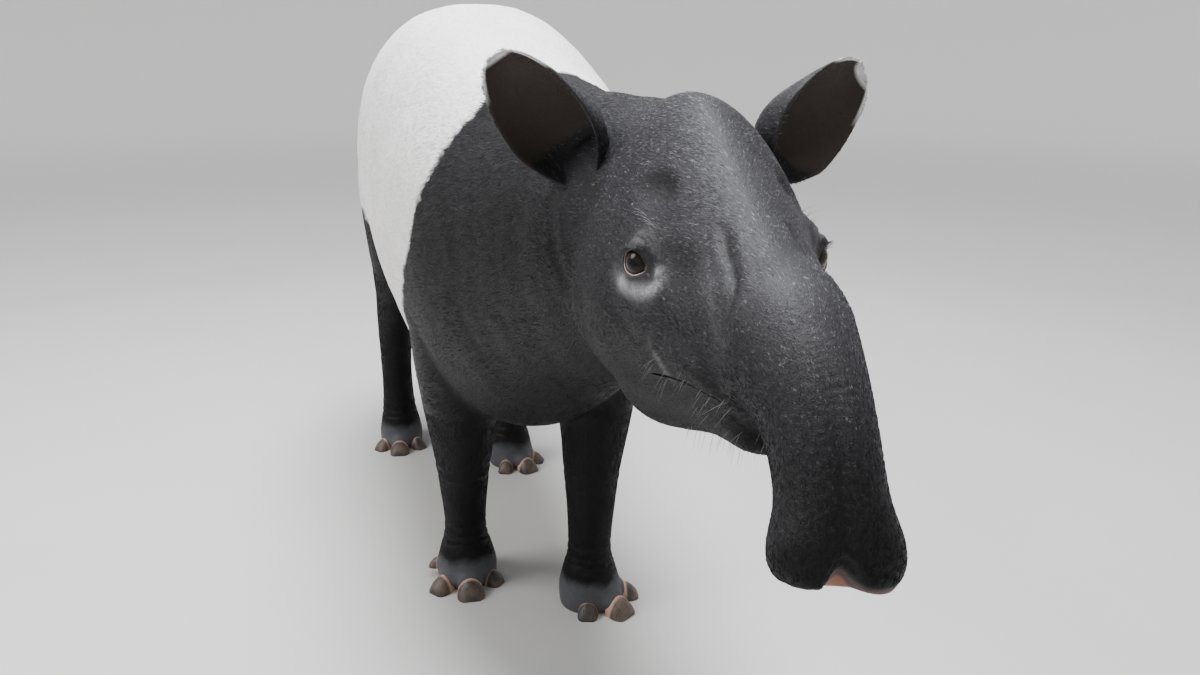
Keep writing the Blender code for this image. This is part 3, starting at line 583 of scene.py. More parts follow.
def body_forms():
    """All the forms of the flesh, as closed bodies that overlap."""
    forms = [
        loft(torso_rings(), "form"),
        loft(box_rings(SKULL, 1.85, 2.1), "form", HEAD),
        loft(box_rings(JAW, 2.0, 2.2), "form", HEAD),
        loft(proboscis_rings(), "form", HEAD),
    ]
    for side in (-1, 1):
        lid = EYE_RADIUS + LID_THICKNESS
        brow = mirrored(EYE_AT, side) + Vector((-0.012 * side, 0.004, 0.026))
        root = mirrored(EAR_ROOT, side) + Vector((-0.036 * side, 0.020, -0.036))
        forms.append(ball(mirrored(EYE_AT, side), (lid, lid, lid), "form", HEAD))
        forms.append(ball(brow, (0.020, 0.034, 0.016), "form", HEAD))
        forms.append(ball(root, (0.042, 0.046, 0.042), "form", HEAD))
        forms.append(ball((0.010 + 0.150 * side, 0.060, 0.660), (0.066, 0.120, 0.200), "form"))
        forms.append(ball((RUMP_X + 0.138 * side, 0.800, 0.730), (0.080, 0.150, 0.190), "form"))
    for leg, foot in FOOT_AT.items():
        rows = FRONT_LEG if leg.startswith("front") else HIND_LEG
        forms.append(loft(leg_rings(rows, LEG_TOP[leg], foot), "form"))
        for _, turn, *sizes in toes_of(leg):
            forms.append(loft(toe_rings(*sizes), "form", toe_matrix(leg, turn)))
    forms.append(loft(tail_rings(), "form"))
    return forms


def fuse(forms):
    """One rounded skin through all the forms."""
    bm = bmesh.new()
    for form in forms:
        bm.from_mesh(form.data)
        bpy.data.objects.remove(form, do_unlink=True)
    made = linked("skin", mesh_from(bm, "skin"))
    remesh = made.modifiers.new("fuse", "REMESH")
    remesh.mode = "VOXEL"
    remesh.voxel_size = VOXEL
    rounding = made.modifiers.new("round", "SMOOTH")
    rounding.factor = 0.5
    rounding.iterations = ROUNDING_STEPS
    apply_modifiers(made)
    return made


def refine(skin):
    """Halves the mesh of the head and feet, and smooths the new points."""
    inverse = HEAD.inverted()
    bm = bmesh.new()
    bm.from_mesh(skin.data)
    fine = [v for v in bm.verts if (inverse @ v.co).y < 0.05 or v.co.z < 0.14]
    for vert in fine:
        vert.tag = True
    edges = [edge for edge in bm.edges if edge.verts[0].tag and edge.verts[1].tag]
    bmesh.ops.subdivide_edges(bm, edges=edges, cuts=1, use_grid_fill=True)
    bmesh.ops.triangulate(bm, faces=bm.faces)
    bm.to_mesh(skin.data)
    bm.free()
    points = points_of(skin.data)
    local = to_head(points)
    weights = ((local[:, 1] < 0.06) | (points[:, 2] < 0.15)).astype(float)
    relax(points, edges_of(skin.data), weights, 5)
    set_points(skin.data, points)


def points_of(mesh):
    flat = np.empty(len(mesh.vertices) * 3)
    mesh.vertices.foreach_get("co", flat)
    return flat.reshape(-1, 3)


def normals_of(mesh):
    flat = np.empty(len(mesh.vertices) * 3, np.float32)
    mesh.vertex_normals.foreach_get("vector", flat)
    return flat.reshape(-1, 3).astype(float)


def set_points(mesh, points):
    mesh.vertices.foreach_set("co", np.ascontiguousarray(points).ravel())
    mesh.update()


def edges_of(mesh):
    flat = np.empty(len(mesh.edges) * 2, np.int64)
    mesh.edges.foreach_get("vertices", flat)
    return flat.reshape(-1, 2)


def relax(points, edges, weights, steps):
    """Slides points towards the middle of their neighbours, by their weights."""
    count = len(points)
    first, second = edges[:, 0], edges[:, 1]
    degree = np.maximum(np.bincount(first, minlength=count) + np.bincount(second, minlength=count), 1)
    for _ in range(steps):
        total = np.stack(
            [
                np.bincount(first, points[second, k], count) + np.bincount(second, points[first, k], count)
                for k in range(3)
            ],
            axis=1,
        )
        points += (0.5 * weights)[:, None] * (total / degree[:, None] - points)


def into(matrix, points):
    """The places of points after a matrix."""
    matrix = np.array(matrix)
    return points @ matrix[:3, :3].T + matrix[:3, 3]


def to_head(points):
    return (points - np.array(HEAD)[:3, 3]) @ HEAD_TURN


def push(points, centre, radii, move):
    """Moves the points near centre by move, fading out smoothly at radii."""
    away = (points - np.array(centre)) / np.array(radii)
    share = np.clip(1.0 - (away**2).sum(1), 0.0, 1.0) ** 2
    points += share[:, None] * np.array(move)


def path_of(path, side=1, steps=6):
    """A path of side, forward and height as a smooth line of points in the head's frame."""
    rows = np.array(smooth_rows(path, steps))
    return rows * np.array((side, -1, 1))


def near_path(points, path):
    """How far each point is from a line of points, and where along it, from 0 to 1."""
    best = np.full(len(points), 1e9)
    place = np.zeros(len(points))
    for i, (start, end) in enumerate(zip(path[:-1], path[1:])):
        step = end - start
        share = unit(((points - start) @ step) / max(step @ step, 1e-12))
        away = np.linalg.norm(points - start - share[:, None] * step, axis=1)
        closer = away < best
        best[closer] = away[closer]
        place[closer] = (i + share[closer]) / (len(path) - 1)
    return best, place


def crease(points, normals, path, depth, width, bulge=0.35):
    """Sinks a groove along a path, with soft swellings beside it, that fades out at both ends."""
    low, high = path.min(0) - 4 * width, path.max(0) + 4 * width
    found = np.flatnonzero(((points > low) & (points < high)).all(1))
    away, place = near_path(points[found], path)
    fade = np.sin(np.pi * unit(place)) ** 0.6
    groove = bell(away, width) - bulge * bell(away - 2.1 * width, width)
    points[found] -= (depth * fade * groove)[:, None] * normals[found]


def ripples(points, seed, size):
    """Smooth noise from -1 to 1 as a sum of crossing waves, the same for the same seed."""
    source = np.random.default_rng(seed)
    total = np.zeros(len(points))
    for octave in range(3):
        for _ in range(6):
            direction = source.normal(size=3)
            direction /= np.linalg.norm(direction)
            wave = math.tau * 2**octave / size * source.uniform(0.7, 1.3)
            total += np.sin(points @ direction * wave + source.uniform(0, math.tau)) / 2**octave
    return total / 5.0


def model_skin(skin):
    """Muscles, hollows, folds and wrinkles, in the head's frame for the head and neck."""
    normals = normals_of(skin.data) @ HEAD_TURN
    points = to_head(points_of(skin.data))
    for side in (-1, 1):
        for centre, reach, move in HEAD_FORMS + LID_FORMS:
            push(points, mirrored(centre, side), reach, mirrored(move, side))
        lobe_at, reach, move = TIP_LOBE
        push(points, mirrored(lobe_at, side) + TIP_ASIDE, reach, move)
    notch_at, reach, move = TIP_NOTCH
    push(points, Vector(notch_at) + TIP_ASIDE, reach, move)
    for side in (-1, 1):
        for path, *sizes in CREASES:
            crease(points, normals, path_of(path, side), *sizes)
        # Rings of fine folds round the lids
        centre = mirrored(EYE_AT, side) + mirrored(EYE_LOOK, side).normalized() * 0.010
        away = np.linalg.norm(points - np.array(centre), axis=1)
        rings = np.zeros(len(points))
        for radius, depth in LID_RINGS:
            rings += depth * bell(away - radius, 0.0016)
        points -= rings[:, None] * normals
    crease(points, normals, path_of(TRUNK_LINE), 0.0030, 0.0070)
    # Fine folds across the trunk, closest together towards its tip
    forward, height = -points[:, 1], points[:, 2]
    trunk = unit((forward - 0.385) / 0.05) * unit((height + 0.245) / 0.03)
    along = forward * 0.62 - height * 0.78
    bend = 0.010 * ripples(points, 3, 0.045) + 0.10 * np.abs(points[:, 0])
    waves = np.abs(np.sin(np.pi * (along + bend) / 0.0072)) ** 0.5 - 0.75
    patches = 0.45 + 0.55 * unit(ripples(points, 5, 0.050) + 0.35)
    points += (0.0007 * trunk * patches * waves)[:, None] * normals
    world = into(HEAD, points)
    turned = normals @ HEAD_TURN.T
    # The coat's depth, and slow unevenness of flesh under the skin
    body = unit((world[:, 1] + 0.42) / 0.1) * unit((world[:, 2] - 0.12) / 0.1)
    sink = COAT_DEPTH + body * (0.0012 - 0.0012 * ripples(world, 11, 0.150))
    # Loose folds in front of the shoulder and along the neck
    for y, strength in SHOULDER_FOLDS:
        line = world[:, 1] - y - 0.10 * (world[:, 2] - 0.70) - 0.010 * ripples(world, 21, 0.200)
        here = unit((world[:, 2] - 0.50) / 0.08) * unit((0.90 - world[:, 2]) / 0.08)
        sink += 0.0008 * strength * here * bell(line, 0.012)
    # Wrinkles round the knees and over the feet
    for x, y in FOOT_AT.values():
        close = (np.abs(world[:, 0] - x) < 0.09) & (np.abs(world[:, 1] - y) < 0.12)
        for z, depth in LEG_WRINKLES:
            line = world[:, 2] - z - 0.006 * ripples(world, 31, 0.060)
            sink += close * depth * bell(line, 0.0042)
    world -= sink[:, None] * turned
    world[:, 2] = np.maximum(world[:, 2], 0.0006)
    set_points(skin.data, world)


def ear_frame(side):
    """Columns sideways, towards the tip, and out of the cup's mouth, in the head's frame."""
    tip = mirrored(EAR_AXIS[side], side).normalized()
    mouth = mirrored(EAR_MOUTH[side], side)
    mouth = (mouth - tip * mouth.dot(tip)).normalized()
    rotation = Matrix((tip.cross(mouth), tip, mouth)).transposed().to_4x4()
    return Matrix.Translation(mirrored(EAR_ROOT, side)) @ rotation


def ear_outline(share):
    """Half width of the ear at a share of its length, against its widest."""
    widest = 0.43
    if share < widest:
        return 1.0 - 0.60 * ((widest - share) / widest) ** 2.0
    return max(0.0, 1.0 - ((share - widest) / (1.0 - widest)) ** 2.1) ** 0.5


def ear_section(share):
    """The cup at a share of the ear: half width, curl, radius, height of its centre, place along the ear."""
    half_width = EAR_HALF_WIDTH * max(ear_outline(min(share, EAR_END)), 0.10)
    curl = math.radians(112.0 - 62.0 * min(1.0, share * 1.25))
    radius = half_width / math.sin(min(curl, math.pi / 2))
    place = EAR_LENGTH * (share * (1.0 + EAR_ROOTED) - EAR_ROOTED)
    return half_width, curl, radius, EAR_FLOOR + radius * math.cos(curl), place


def ear(side):
    """A cup as the solid has it, thick at its root and thin at its rim."""
    across_steps, along_steps = 40, 34
    bm = bmesh.new()
    outer, inner = [], []
    for i in range(along_steps + 1):
        share = math.sin(0.5 * math.pi * i / along_steps)
        _, curl, radius, centre, place = ear_section(share)
        rows = ([], [])
        for k in range(across_steps + 1):
            turn = 2.0 * k / across_steps - 1.0
            rim = max(abs(turn) ** 6, share**8)
            half = 0.5 * (EAR_THICK * (1 - rim) + EAR_THIN * rim)
            sine, cosine = math.sin(curl * turn), math.cos(curl * turn)
            for row, reach in zip(rows, (radius + half, radius - half)):
                row.append(bm.verts.new((reach * sine, place, centre - reach * cosine)))
        outer.append(rows[0])
        inner.append(rows[1])
    pairs = [(outer[k], inner[k]) for k in (0, -1)]
    pairs += [([row[k] for row in outer], [row[k] for row in inner]) for k in (0, -1)]
    for rows in (outer, inner, *pairs):
        bridge(bm, rows, closed=False)
    return object_of(bm, "ear_form", HEAD @ ear_frame(side))


def boolean(target, tool, operation):
    step = target.modifiers.new(operation.lower(), "BOOLEAN")
    step.operation = operation
    step.solver = "MANIFOLD"
    step.object = tool
    apply_modifiers(target)
    bpy.data.objects.remove(tool, do_unlink=True)


def eye_matrix(side):
    return HEAD @ Matrix.Translation(mirrored(EYE_AT, side)) @ frame_along(mirrored(EYE_LOOK, side), (0, 0, 1))


def lid_edge(side, angle):
    """The edge of the lids, seen along the eye's look: nearly round, drawn out at the corner by the nose."""
    across, height = math.cos(angle), math.sin(angle)
    corner = max(0.0, across) ** 7
    other = max(0.0, -across) ** 9
    x = LID_HALF_WIDTH * 0.93 * across * (1 + 0.14 * corner + 0.06 * other)
    z = LID_HALF_HEIGHT * height * (1.0 if height > 0 else 0.92) - 0.0022 * corner
    return x * side, z


def lid_opening(side):
    rings = []
    for along, flare in ((0.004, 1.0), (EYE_RADIUS + 0.012, 1.12)):
        edge = [lid_edge(side, math.tau * k / LID_POINTS) for k in range(LID_POINTS)]
        rings.append([Vector((x * flare, along, z * flare)) for x, z in edge])
    return loft(rings, "opening", eye_matrix(side))


def mouth_groove():
    half = smooth_rows(MOUTH, 5)
    path = half + [row * np.array((-1, 1, 1)) for row in reversed(half[:-1])]
    rings = []
    for i, (before, row, after) in enumerate(with_neighbours(path)):
        along = Vector((after[0] - before[0], before[1] - after[1], after[2] - before[2])).normalized()
        inward = along.cross(UPWARD).normalized()
        up = inward.cross(along).normalized()
        end = 0.4 if i in (0, len(path) - 1) else 1.0
        gap = MOUTH_HALF_GAP * end * 0.5
        rings.append(ring((row[0], -row[1], row[2]), inward, up, MOUTH_HALF_DEPTH * end, gap, gap)[::4])
    return loft(rings, "mouth", HEAD)


def nostril(side):
    rotation = Matrix.Rotation(math.radians(48.0), 4, "X") @ Matrix.Rotation(math.radians(14.0 * side), 4, "Y")
    centre = Vector((NOSTRIL_AT.x * side, -NOSTRIL_AT.y, NOSTRIL_AT.z))
    return ball((0, 0, 0), NOSTRIL_SIZE, "nostril", HEAD @ Matrix.Translation(centre) @ rotation)


def whole_mouth():
    """The line of the mouth from corner to corner."""
    return np.vstack([path_of(MOUTH, 1, 3), path_of(MOUTH, -1, 3)[::-1]])


def build_skin():
    skin = fuse(body_forms())
    refine(skin)
    model_skin(skin)
    for side in (-1, 1):
        boolean(skin, ear(side), "UNION")
        bm = bmesh.new()
        bmesh.ops.create_uvsphere(bm, u_segments=48, v_segments=32, radius=EYE_RADIUS + 0.0006)
        boolean(skin, object_of(bm, "socket", eye_matrix(side)), "DIFFERENCE")
        boolean(skin, lid_opening(side), "DIFFERENCE")
        boolean(skin, nostril(side), "DIFFERENCE")
    boolean(skin, mouth_groove(), "DIFFERENCE")
    # Rounds the join of each ear, and the edges of the mouth's cut, a little
    points = points_of(skin.data)
    weights = np.zeros(len(points))
    for side in (-1, 1):
        local = into((HEAD @ ear_frame(side)).inverted(), points)
        radial = np.hypot(local[:, 0], local[:, 2])
        weights = np.maximum(weights, bell(local[:, 1] - 0.002, 0.014) * (radial < 0.065))
    away, _ = near_path(to_head(points), whole_mouth())
    weights = np.maximum(weights, 0.6 * (away < 0.006))
    relax(points, edges_of(skin.data), weights, 5)
    set_points(skin.data, points)
    return skin


def past_tip(local):
    """How far places in the head's frame lie beyond the edge of the trunk's lining, in metres."""
    notch = 0.0165 * bell(local[:, 0] + 0.006, 0.011)
    return np.where(local[:, 1] < -0.44, -0.51 * local[:, 1] - 0.86 * local[:, 2] - 0.4724 + notch, -1.0)


def marks(points):
    """Shares of white coat, bare skin, pale hair and the other markings, with painted shade, sheen and a highlight on
    the nose, at places in the raw frame.
    """
    head = to_head(points)
    _, y, z = points.T
    rough, fine = ripples(points, 41, 0.070), ripples(points, 43, 0.018)
    edge_front = (y - np.interp(z, *np.array(SADDLE_FRONT).T) + 0.008 * rough + 0.005 * fine) / 0.012
    edge_rear = (z - np.interp(y, *np.array(SADDLE_REAR).T) + 0.012 * rough + 0.005 * fine) / 0.016
    edge_rear = np.where(y < SADDLE_REAR[0][0], 9.0, edge_rear)
    tail = unit((y - 1.060) / 0.02)
    white = unit(0.5 + edge_front) * unit(0.5 + edge_rear) * (1 - 0.9 * tail)
    bare = unit((0.050 + 0.006 * rough - z) / 0.010)
    pale, dark, pink, cup = np.zeros((4, len(points)))
    close = np.flatnonzero(head[:, 1] < 0.10)
    some = head[close]
    lifted, painted_shade, skin, edged = np.zeros((4, len(some)))
    for side in (-1, 1):
        for path, strength, width in PALE_PATHS:
            away, place = near_path(some, path_of(path, side))
            fade = np.clip(np.minimum(place, 1 - place) / 0.16, 0.25, 1)
            lifted = np.maximum(lifted, strength * fade * bell(away, width))
        # Painted shade in the groove beside the nose and in the hollow over the eye
        away, _ = near_path(some, path_of(NOSE_GROOVE, side))
        painted_shade = np.maximum(painted_shade, 0.8 * bell(away, 0.0055))
        centre, reach = EYE_HOLLOW
        hollow = np.linalg.norm((some - np.array(centre) * (side, 1, 1)) / np.array(reach), axis=1)
        painted_shade = np.maximum(painted_shade, 0.55 * bell(hollow, 1.0))
        eye = np.linalg.norm(some - np.array(mirrored(EYE_AT, side)), axis=1)
        skin = np.maximum(skin, unit((0.0245 - eye) / 0.002))
        local, share, of_ear = in_ear(some, side)
        half = np.maximum(np.interp(share, EAR_SHARES, EAR_HALVES), 1e-4)
        rim = unit((np.abs(local[:, 0]) / half - 0.90) / 0.05) + unit((share - 0.955) / 0.015)
        edged = np.maximum(edged, of_ear * unit(rim) * unit((share - 0.74) / 0.12))
    beyond = past_tip(some)
    skin = np.maximum(skin, unit((beyond + 0.0025) / 0.003))
    rim = unit(1 - np.abs(beyond - 0.0015) / 0.0020) * (0.35 + 0.65 * unit(np.abs(some[:, 0]) / 0.05))
    pink[close] = np.maximum(0.55 * rim, unit((beyond - 0.0030) / 0.003))
    # Painted shade along the line down the trunk
    away, place = near_path(some, path_of(TRUNK_LINE))
    line = 0.75 * np.clip(place - 0.35, 0, 0.6) / 0.6 * bell(away, 0.007)
    painted_shade = np.maximum(painted_shade, line * (beyond < -0.012))
    # Painted shade along the mouth line; the hollow mark carries all of this painted shade
    away, _ = near_path(some, whole_mouth())
    pale[close], dark[close] = lifted, np.maximum(painted_shade, 0.9 * bell(away, 0.0035))
    white[close] = np.maximum(white[close], edged)
    bare[close] = np.maximum(bare[close], skin)
    # Greyer hair over the face, together with painted sheen: lighter towards the top of the head and higher on the
    # body, where the light falls from above
    top = unit((head[:, 2] + 0.17) / 0.14)
    grey_and_sheen = unit((0.16 - head[:, 1]) / 0.22) * (0.10 + 0.90 * top)
    grey_and_sheen = np.maximum(grey_and_sheen, 0.25 * unit((z - 0.55) / 0.30))
    leg = unit((0.50 - z) / 0.10)
    foot = unit((0.066 + 0.008 * rough - z) / 0.016)
    for side in (-1, 1):
        local, share, here = in_ear(head, side)
        radius, centre = (np.interp(share, EAR_SHARES, row) for row in (EAR_RADII, EAR_CENTRES))
        inner = np.hypot(local[:, 0], centre - local[:, 2]) < radius - 0.0003
        cup[here & inner & (local[:, 1] > 0.006)] = 1.0
    found = {"white": white, "bare": bare, "pale": pale, "hollow": dark, "grey_and_sheen": grey_and_sheen}
    return found | {"leg": leg, "pink": pink, "cup": cup, "foot": foot}


def store(mesh, name, values):
    attribute = mesh.attributes.new(name, "FLOAT", "POINT")
    attribute.data.foreach_set("value", np.asarray(values, np.float32))


def spine_of(rows):
    """Points along the middle of the trunk or tail, with the way along it at each."""
    points = np.array([(0.0, -row[0], row[1]) for row in rows])
    along = np.gradient(points, axis=0)
    return points, along / np.linalg.norm(along, axis=1)[:, None]


def nearest_on(points, spine):
    """For each point the index of the nearest place of a spine."""
    best, index = np.full(len(points), 1e9), np.zeros(len(points), int)
    for i, place in enumerate(spine):
        away = ((points - place) ** 2).sum(1)
        closer = away < best
        best[closer], index[closer] = away[closer], i
    return index


TRUNK_SPINE = spine_of(smooth_rows(PROBOSCIS, 6))
TAIL_ROWS = np.array(smooth_rows(TAIL, 6))
EAR_SHARES = np.linspace(0, EAR_END, 200)
EAR_HALVES, _, EAR_RADII, EAR_CENTRES, _ = np.array([ear_section(share) for share in EAR_SHARES]).T
EAR_PLACES = {side: np.array(ear_frame(side).inverted()) for side in (-1, 1)}


def in_ear(head, side):
    """Places in an ear's own frame, their shares of its length, and which of them belong to it."""
    local = into(EAR_PLACES[side], head)
    share = unit((local[:, 1] / EAR_LENGTH + EAR_ROOTED) / (1 + EAR_ROOTED))
    near = (np.abs(local[:, 0]) < 0.078) & (np.abs(local[:, 2]) < 0.060)
    return local, share, near & (local[:, 1] > 0.012) & (head[:, 0] * side > 0.06)


def torso_at(y, column):
    """A column of the torso's table at each y."""
    return np.interp(y, *np.array(TORSO).T[[0, column]])


def turn_of(across, up):
    """The share of a turn round a spine."""
    return np.arctan2(across, up) / math.tau + 0.5


def sort_places(points):
    """The region of each place, and its two coordinates on an unwrap of that region."""
    head = to_head(points)
    x, y, z = points.T
    middle = torso_at(y, 5)
    right = x < middle
    region = np.where(y < 0.40, np.where(right, 0, 1), np.where(right, 2, 3))
    uv = np.stack([turn_of(x - middle, z - torso_at(y, 4) + 0.05), (y + 0.60) / 1.72], axis=1)

    def settle(which, number, across, up):
        region[which] = number
        uv[which] = np.stack([across, up], axis=1)[which]

    for i, (leg, foot) in enumerate(FOOT_AT.items()):
        front = leg.startswith("front")
        here = ((x < 0.0) if leg.endswith("right") else (x >= 0.0)) & (z < (0.385 if front else 0.480))
        here &= ((y < 0.38) if front else (y > 0.38)) & (z < torso_at(y, 2) + 0.06)
        share = unit((0.55 - z) / 0.45)
        cx, cy = (top + (low - top) * share for top, low in zip(LEG_TOP[leg], foot))
        settle(here, 8 + i, turn_of(x - cx, cy - y), z / 0.55)
    face = head[:, 1] < 0.075 - 0.10 * np.clip(-head[:, 2] - 0.10, 0, 0.2)
    settle(face, np.where(head[face, 0] < 0, 4, 5), turn_of(head[:, 0], head[:, 2] + 0.130), (0.12 - head[:, 1]) / 0.62)
    trunk = face & (head[:, 1] < -0.395) & ((head[:, 2] > -0.148) | (head[:, 1] < -0.425))
    centres, along = TRUNK_SPINE
    found = np.flatnonzero(trunk)
    index = nearest_on(head[found], centres)
    away = head[found] - centres[index]
    over = away[:, 1] * -along[index, 2] + away[:, 2] * along[index, 1]
    region[found] = 6
    uv[found] = np.stack([turn_of(away[:, 0], -over), index / len(centres)], axis=1)
    for k, side in enumerate((-1, 1)):
        local, _, here = in_ear(head, side)
        inner = (local[:, 2] > -0.004) | (np.hypot(local[:, 0], local[:, 2] - EAR_FLOOR) < 0.030)
        settle(here, 12 + k, 0.25 + 0.5 * inner + local[:, 0] * 3.0, local[:, 1] / 0.16)
    tail = (y > 1.040) & (np.abs(x - RUMP_X) < 0.060) & (z < 0.93)
    index = nearest_on(points[:, 1:], TAIL_ROWS[:, :2])
    settle(tail, 7, turn_of(x - RUMP_X, y - TAIL_ROWS[index, 0]), (0.93 - z) / 0.20)
    return region, np.clip(uv, 0.004, 0.996)


# Each region of the coat: name, length, width and share of a tuft, spread of its way in degrees, lift in degrees
COAT = (
    ("front_right", 0.0135, 0.0014, 1.0, 9, 2.5),
    ("front_left", 0.0135, 0.0014, 1.0, 9, 2.5),
    ("rear_right", 0.0140, 0.0015, 0.85, 9, 2.5),
    ("rear_left", 0.0140, 0.0015, 0.85, 9, 2.5),
    ("head_right", 0.0070, 0.0008, 3.6, 10, 3.0),
    ("head_left", 0.0070, 0.0008, 3.6, 10, 3.0),
    ("trunk", 0.0044, 0.0006, 4.2, 14, 4.0),
    ("tail", 0.0110, 0.0014, 2.6, 12, 5.0),
    ("front_right_leg", 0.0080, 0.0010, 2.4, 9, 2.5),
    ("front_left_leg", 0.0080, 0.0010, 2.4, 9, 2.5),
    ("hind_right_leg", 0.0080, 0.0010, 2.4, 9, 2.5),
    ("hind_left_leg", 0.0080, 0.0010, 2.4, 9, 2.5),
    ("ear_right", 0.0036, 0.0006, 2.4, 12, 3.0),
    ("ear_left", 0.0036, 0.0006, 2.4, 12, 3.0),
)


def way_of(points, region):
    """The way the coat lies at each place, in the raw frame."""
    way = np.tile(np.array((0.0, 1.0, -0.30)), (len(points), 1))
    head = to_head(points)
    one = np.ones(len(points))
    cheek = unit((-head[:, 2] - 0.10) / 0.12)[:, None]
    brow = np.stack([0.30 * np.sign(head[:, 0]), one, -0.12 * one], axis=1)
    back = brow * (1 - cheek) + cheek * np.array((0.0, 1.0, -0.55))
    face = (region == 4) | (region == 5)
    way[face] = (back @ HEAD_TURN.T)[face]
    trunk = np.flatnonzero(region == 6)
    centres, along = TRUNK_SPINE
    way[trunk] = -along[nearest_on(head[trunk], centres)] @ HEAD_TURN.T
    way[(region >= 8) & (region <= 11)] = (0.0, 0.22, -1.0)
    way[region == 7] = (0.0, 0.25, -1.0)
    for k, side in enumerate((-1, 1)):
        way[region == 12 + k] = HEAD_TURN @ np.array(ear_frame(side))[:3, 1]
    return way


def sample(mesh, count, weigh):
    """Random roots on a mesh, with their normals, as many for a share of area as weigh says."""
    mesh.calc_loop_triangles()
    corners = np.empty(len(mesh.loop_triangles) * 3, np.int64)
    mesh.loop_triangles.foreach_get("vertices", corners)
    corners = corners.reshape(-1, 3)
    points, normals = points_of(mesh), normals_of(mesh)
    a, b, c = (points[corners[:, k]] for k in range(3))
    area = 0.5 * np.linalg.norm(np.cross(b - a, c - a), axis=1)
    weight = area * weigh((a + b + c) / 3)
    chosen = RANDOM.choice(len(corners), count, p=weight / weight.sum())
    first, second = RANDOM.random((2, count))
    over = first + second > 1
    first[over], second[over] = 1 - first[over], 1 - second[over]
    shares = np.stack([1 - first - second, first, second], axis=1)[:, :, None]
    roots = (points[corners[chosen]] * shares).sum(1)
    facing = (normals[corners[chosen]] * shares).sum(1)
    return roots, facing / np.linalg.norm(facing, axis=1)[:, None]


def tuft_mesh(name, roots, facing, way, length, width, lift, uv, values):
    """Closed spikes of four faces, lying along way, each with its root's marks and its own patch of the map."""
    count = len(roots)
    way = way - (way * facing).sum(1)[:, None] * facing
    way /= np.maximum(np.linalg.norm(way, axis=1), 1e-9)[:, None]
    across = np.cross(facing, way)
    length, width = length[:, None], width[:, None]
    tip = roots + way * length * np.cos(lift)[:, None] + facing * length * np.sin(lift)[:, None]
    corner = roots - facing * 0.0007
    ridge = roots + way * length * 0.18 + facing * (0.25 * width + 0.0002)
    points = np.stack([corner - across * width / 2, corner + across * width / 2, ridge, tip], axis=1)
    faces = np.array(((0, 2, 1), (1, 2, 3), (3, 2, 0), (1, 3, 0)))
    index = (np.arange(count)[:, None, None] * 4 + faces).reshape(-1)
    mesh = bpy.data.meshes.new(name)
    mesh.vertices.add(count * 4)
    mesh.vertices.foreach_set("co", (points + SHIFT).ravel())
    mesh.loops.add(count * 12)
    mesh.loops.foreach_set("vertex_index", index)
    mesh.polygons.add(count * 4)
    mesh.polygons.foreach_set("loop_start", np.arange(0, count * 12, 3))
    mesh.polygons.foreach_set("use_smooth", np.ones(count * 4, bool))
    mesh.update(calc_edges=True)
    turned = facing + 0.16 * RANDOM.normal(size=facing.shape)
    looks = turned[:, None, :] + np.array((-0.30, 0.30, 0.0, 0.0))[None, :, None] * across[:, None, :]
    looks /= np.linalg.norm(looks, axis=2)[:, :, None]
    mesh.normals_split_custom_set_from_vertices(looks.reshape(-1, 3).tolist())
    patch = np.array(((-0.0015, -0.0015), (0.0015, -0.0015), (0.0, -0.0004), (0.0, 0.0015)))
    places = uv[:, None, :] + patch[None]
    layer = mesh.uv_layers.new(name="OFBake")
    layer.data.foreach_set("uv", places.reshape(-1, 2)[index].ravel().astype(np.float32))
    for key, value in values.items():
        store(mesh, key, np.repeat(value, 4))
    store(mesh, "tip", np.tile((0.0, 0.0, 0.3, 1.0), count))
    return linked(name, mesh)


def build_coat(skin, material, white):
    shares = np.array([row[3] for row in COAT])

    def from_eyes(local):
        """How far places in the head's frame are from the nearer eye."""
        return np.minimum(*(np.linalg.norm(local - np.array(mirrored(EYE_AT, side)), axis=1) for side in (-1, 1)))

    def weigh(points):
        local = to_head(points)
        bare = (from_eyes(local) < 0.0255) | (points[:, 2] < 0.040) | (past_tip(local) > -0.001)
        bare |= near_path(local, whole_mouth())[0] < 0.005
        return shares[sort_places(points)[0]] * ~bare

    roots, facing = sample(skin.data, TUFTS, weigh)
    region, uv = sort_places(roots)
    way = way_of(roots, region)
    values = marks(roots)
    values["tone"] = RANDOM.normal(size=len(roots))
    tall, wide, spread, lift = np.array([row[1:3] + row[4:] for row in COAT])[region].T
    head = to_head(roots)
    near_face = unit((-head[:, 1] - 0.10) / 0.25) * (region < 7)
    length = tall * RANDOM.uniform(0.75, 1.3, len(roots)) * (1 - 0.25 * near_face)
    length *= 0.45 + 0.55 * unit((from_eyes(head) - 0.025) / 0.03)
    length *= 1 - 0.55 * unit((0.12 - roots[:, 2]) / 0.08)
    width = wide * RANDOM.uniform(0.7, 1.2, len(roots))
    spread = np.radians(spread) * RANDOM.normal(size=len(roots)) + 0.25 * ripples(roots, 51, 0.120)
    way = way * np.cos(spread)[:, None] + np.cross(facing, way) * np.sin(spread)[:, None]
    lift = np.radians(lift) * RANDOM.uniform(0.3, 1.8, len(roots))
    for i, row in enumerate(COAT):
        chosen = np.flatnonzero(region == i)
        rear = row[0].startswith("rear")
        for part in range(0, len(chosen), LARGEST_PIECE):
            some = chosen[part : part + LARGEST_PIECE]
            name = "coat_" + row[0]
            if len(chosen) > LARGEST_PIECE:
                name += "_%d" % (part // LARGEST_PIECE + 1)
            parts = (each[some] for each in (roots, facing, way, length, width, lift, uv))
            piece = tuft_mesh(name, *parts, {key: value[some] for key, value in values.items()})
            piece.data.materials.append(white if rear else material)
            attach(piece, "root")


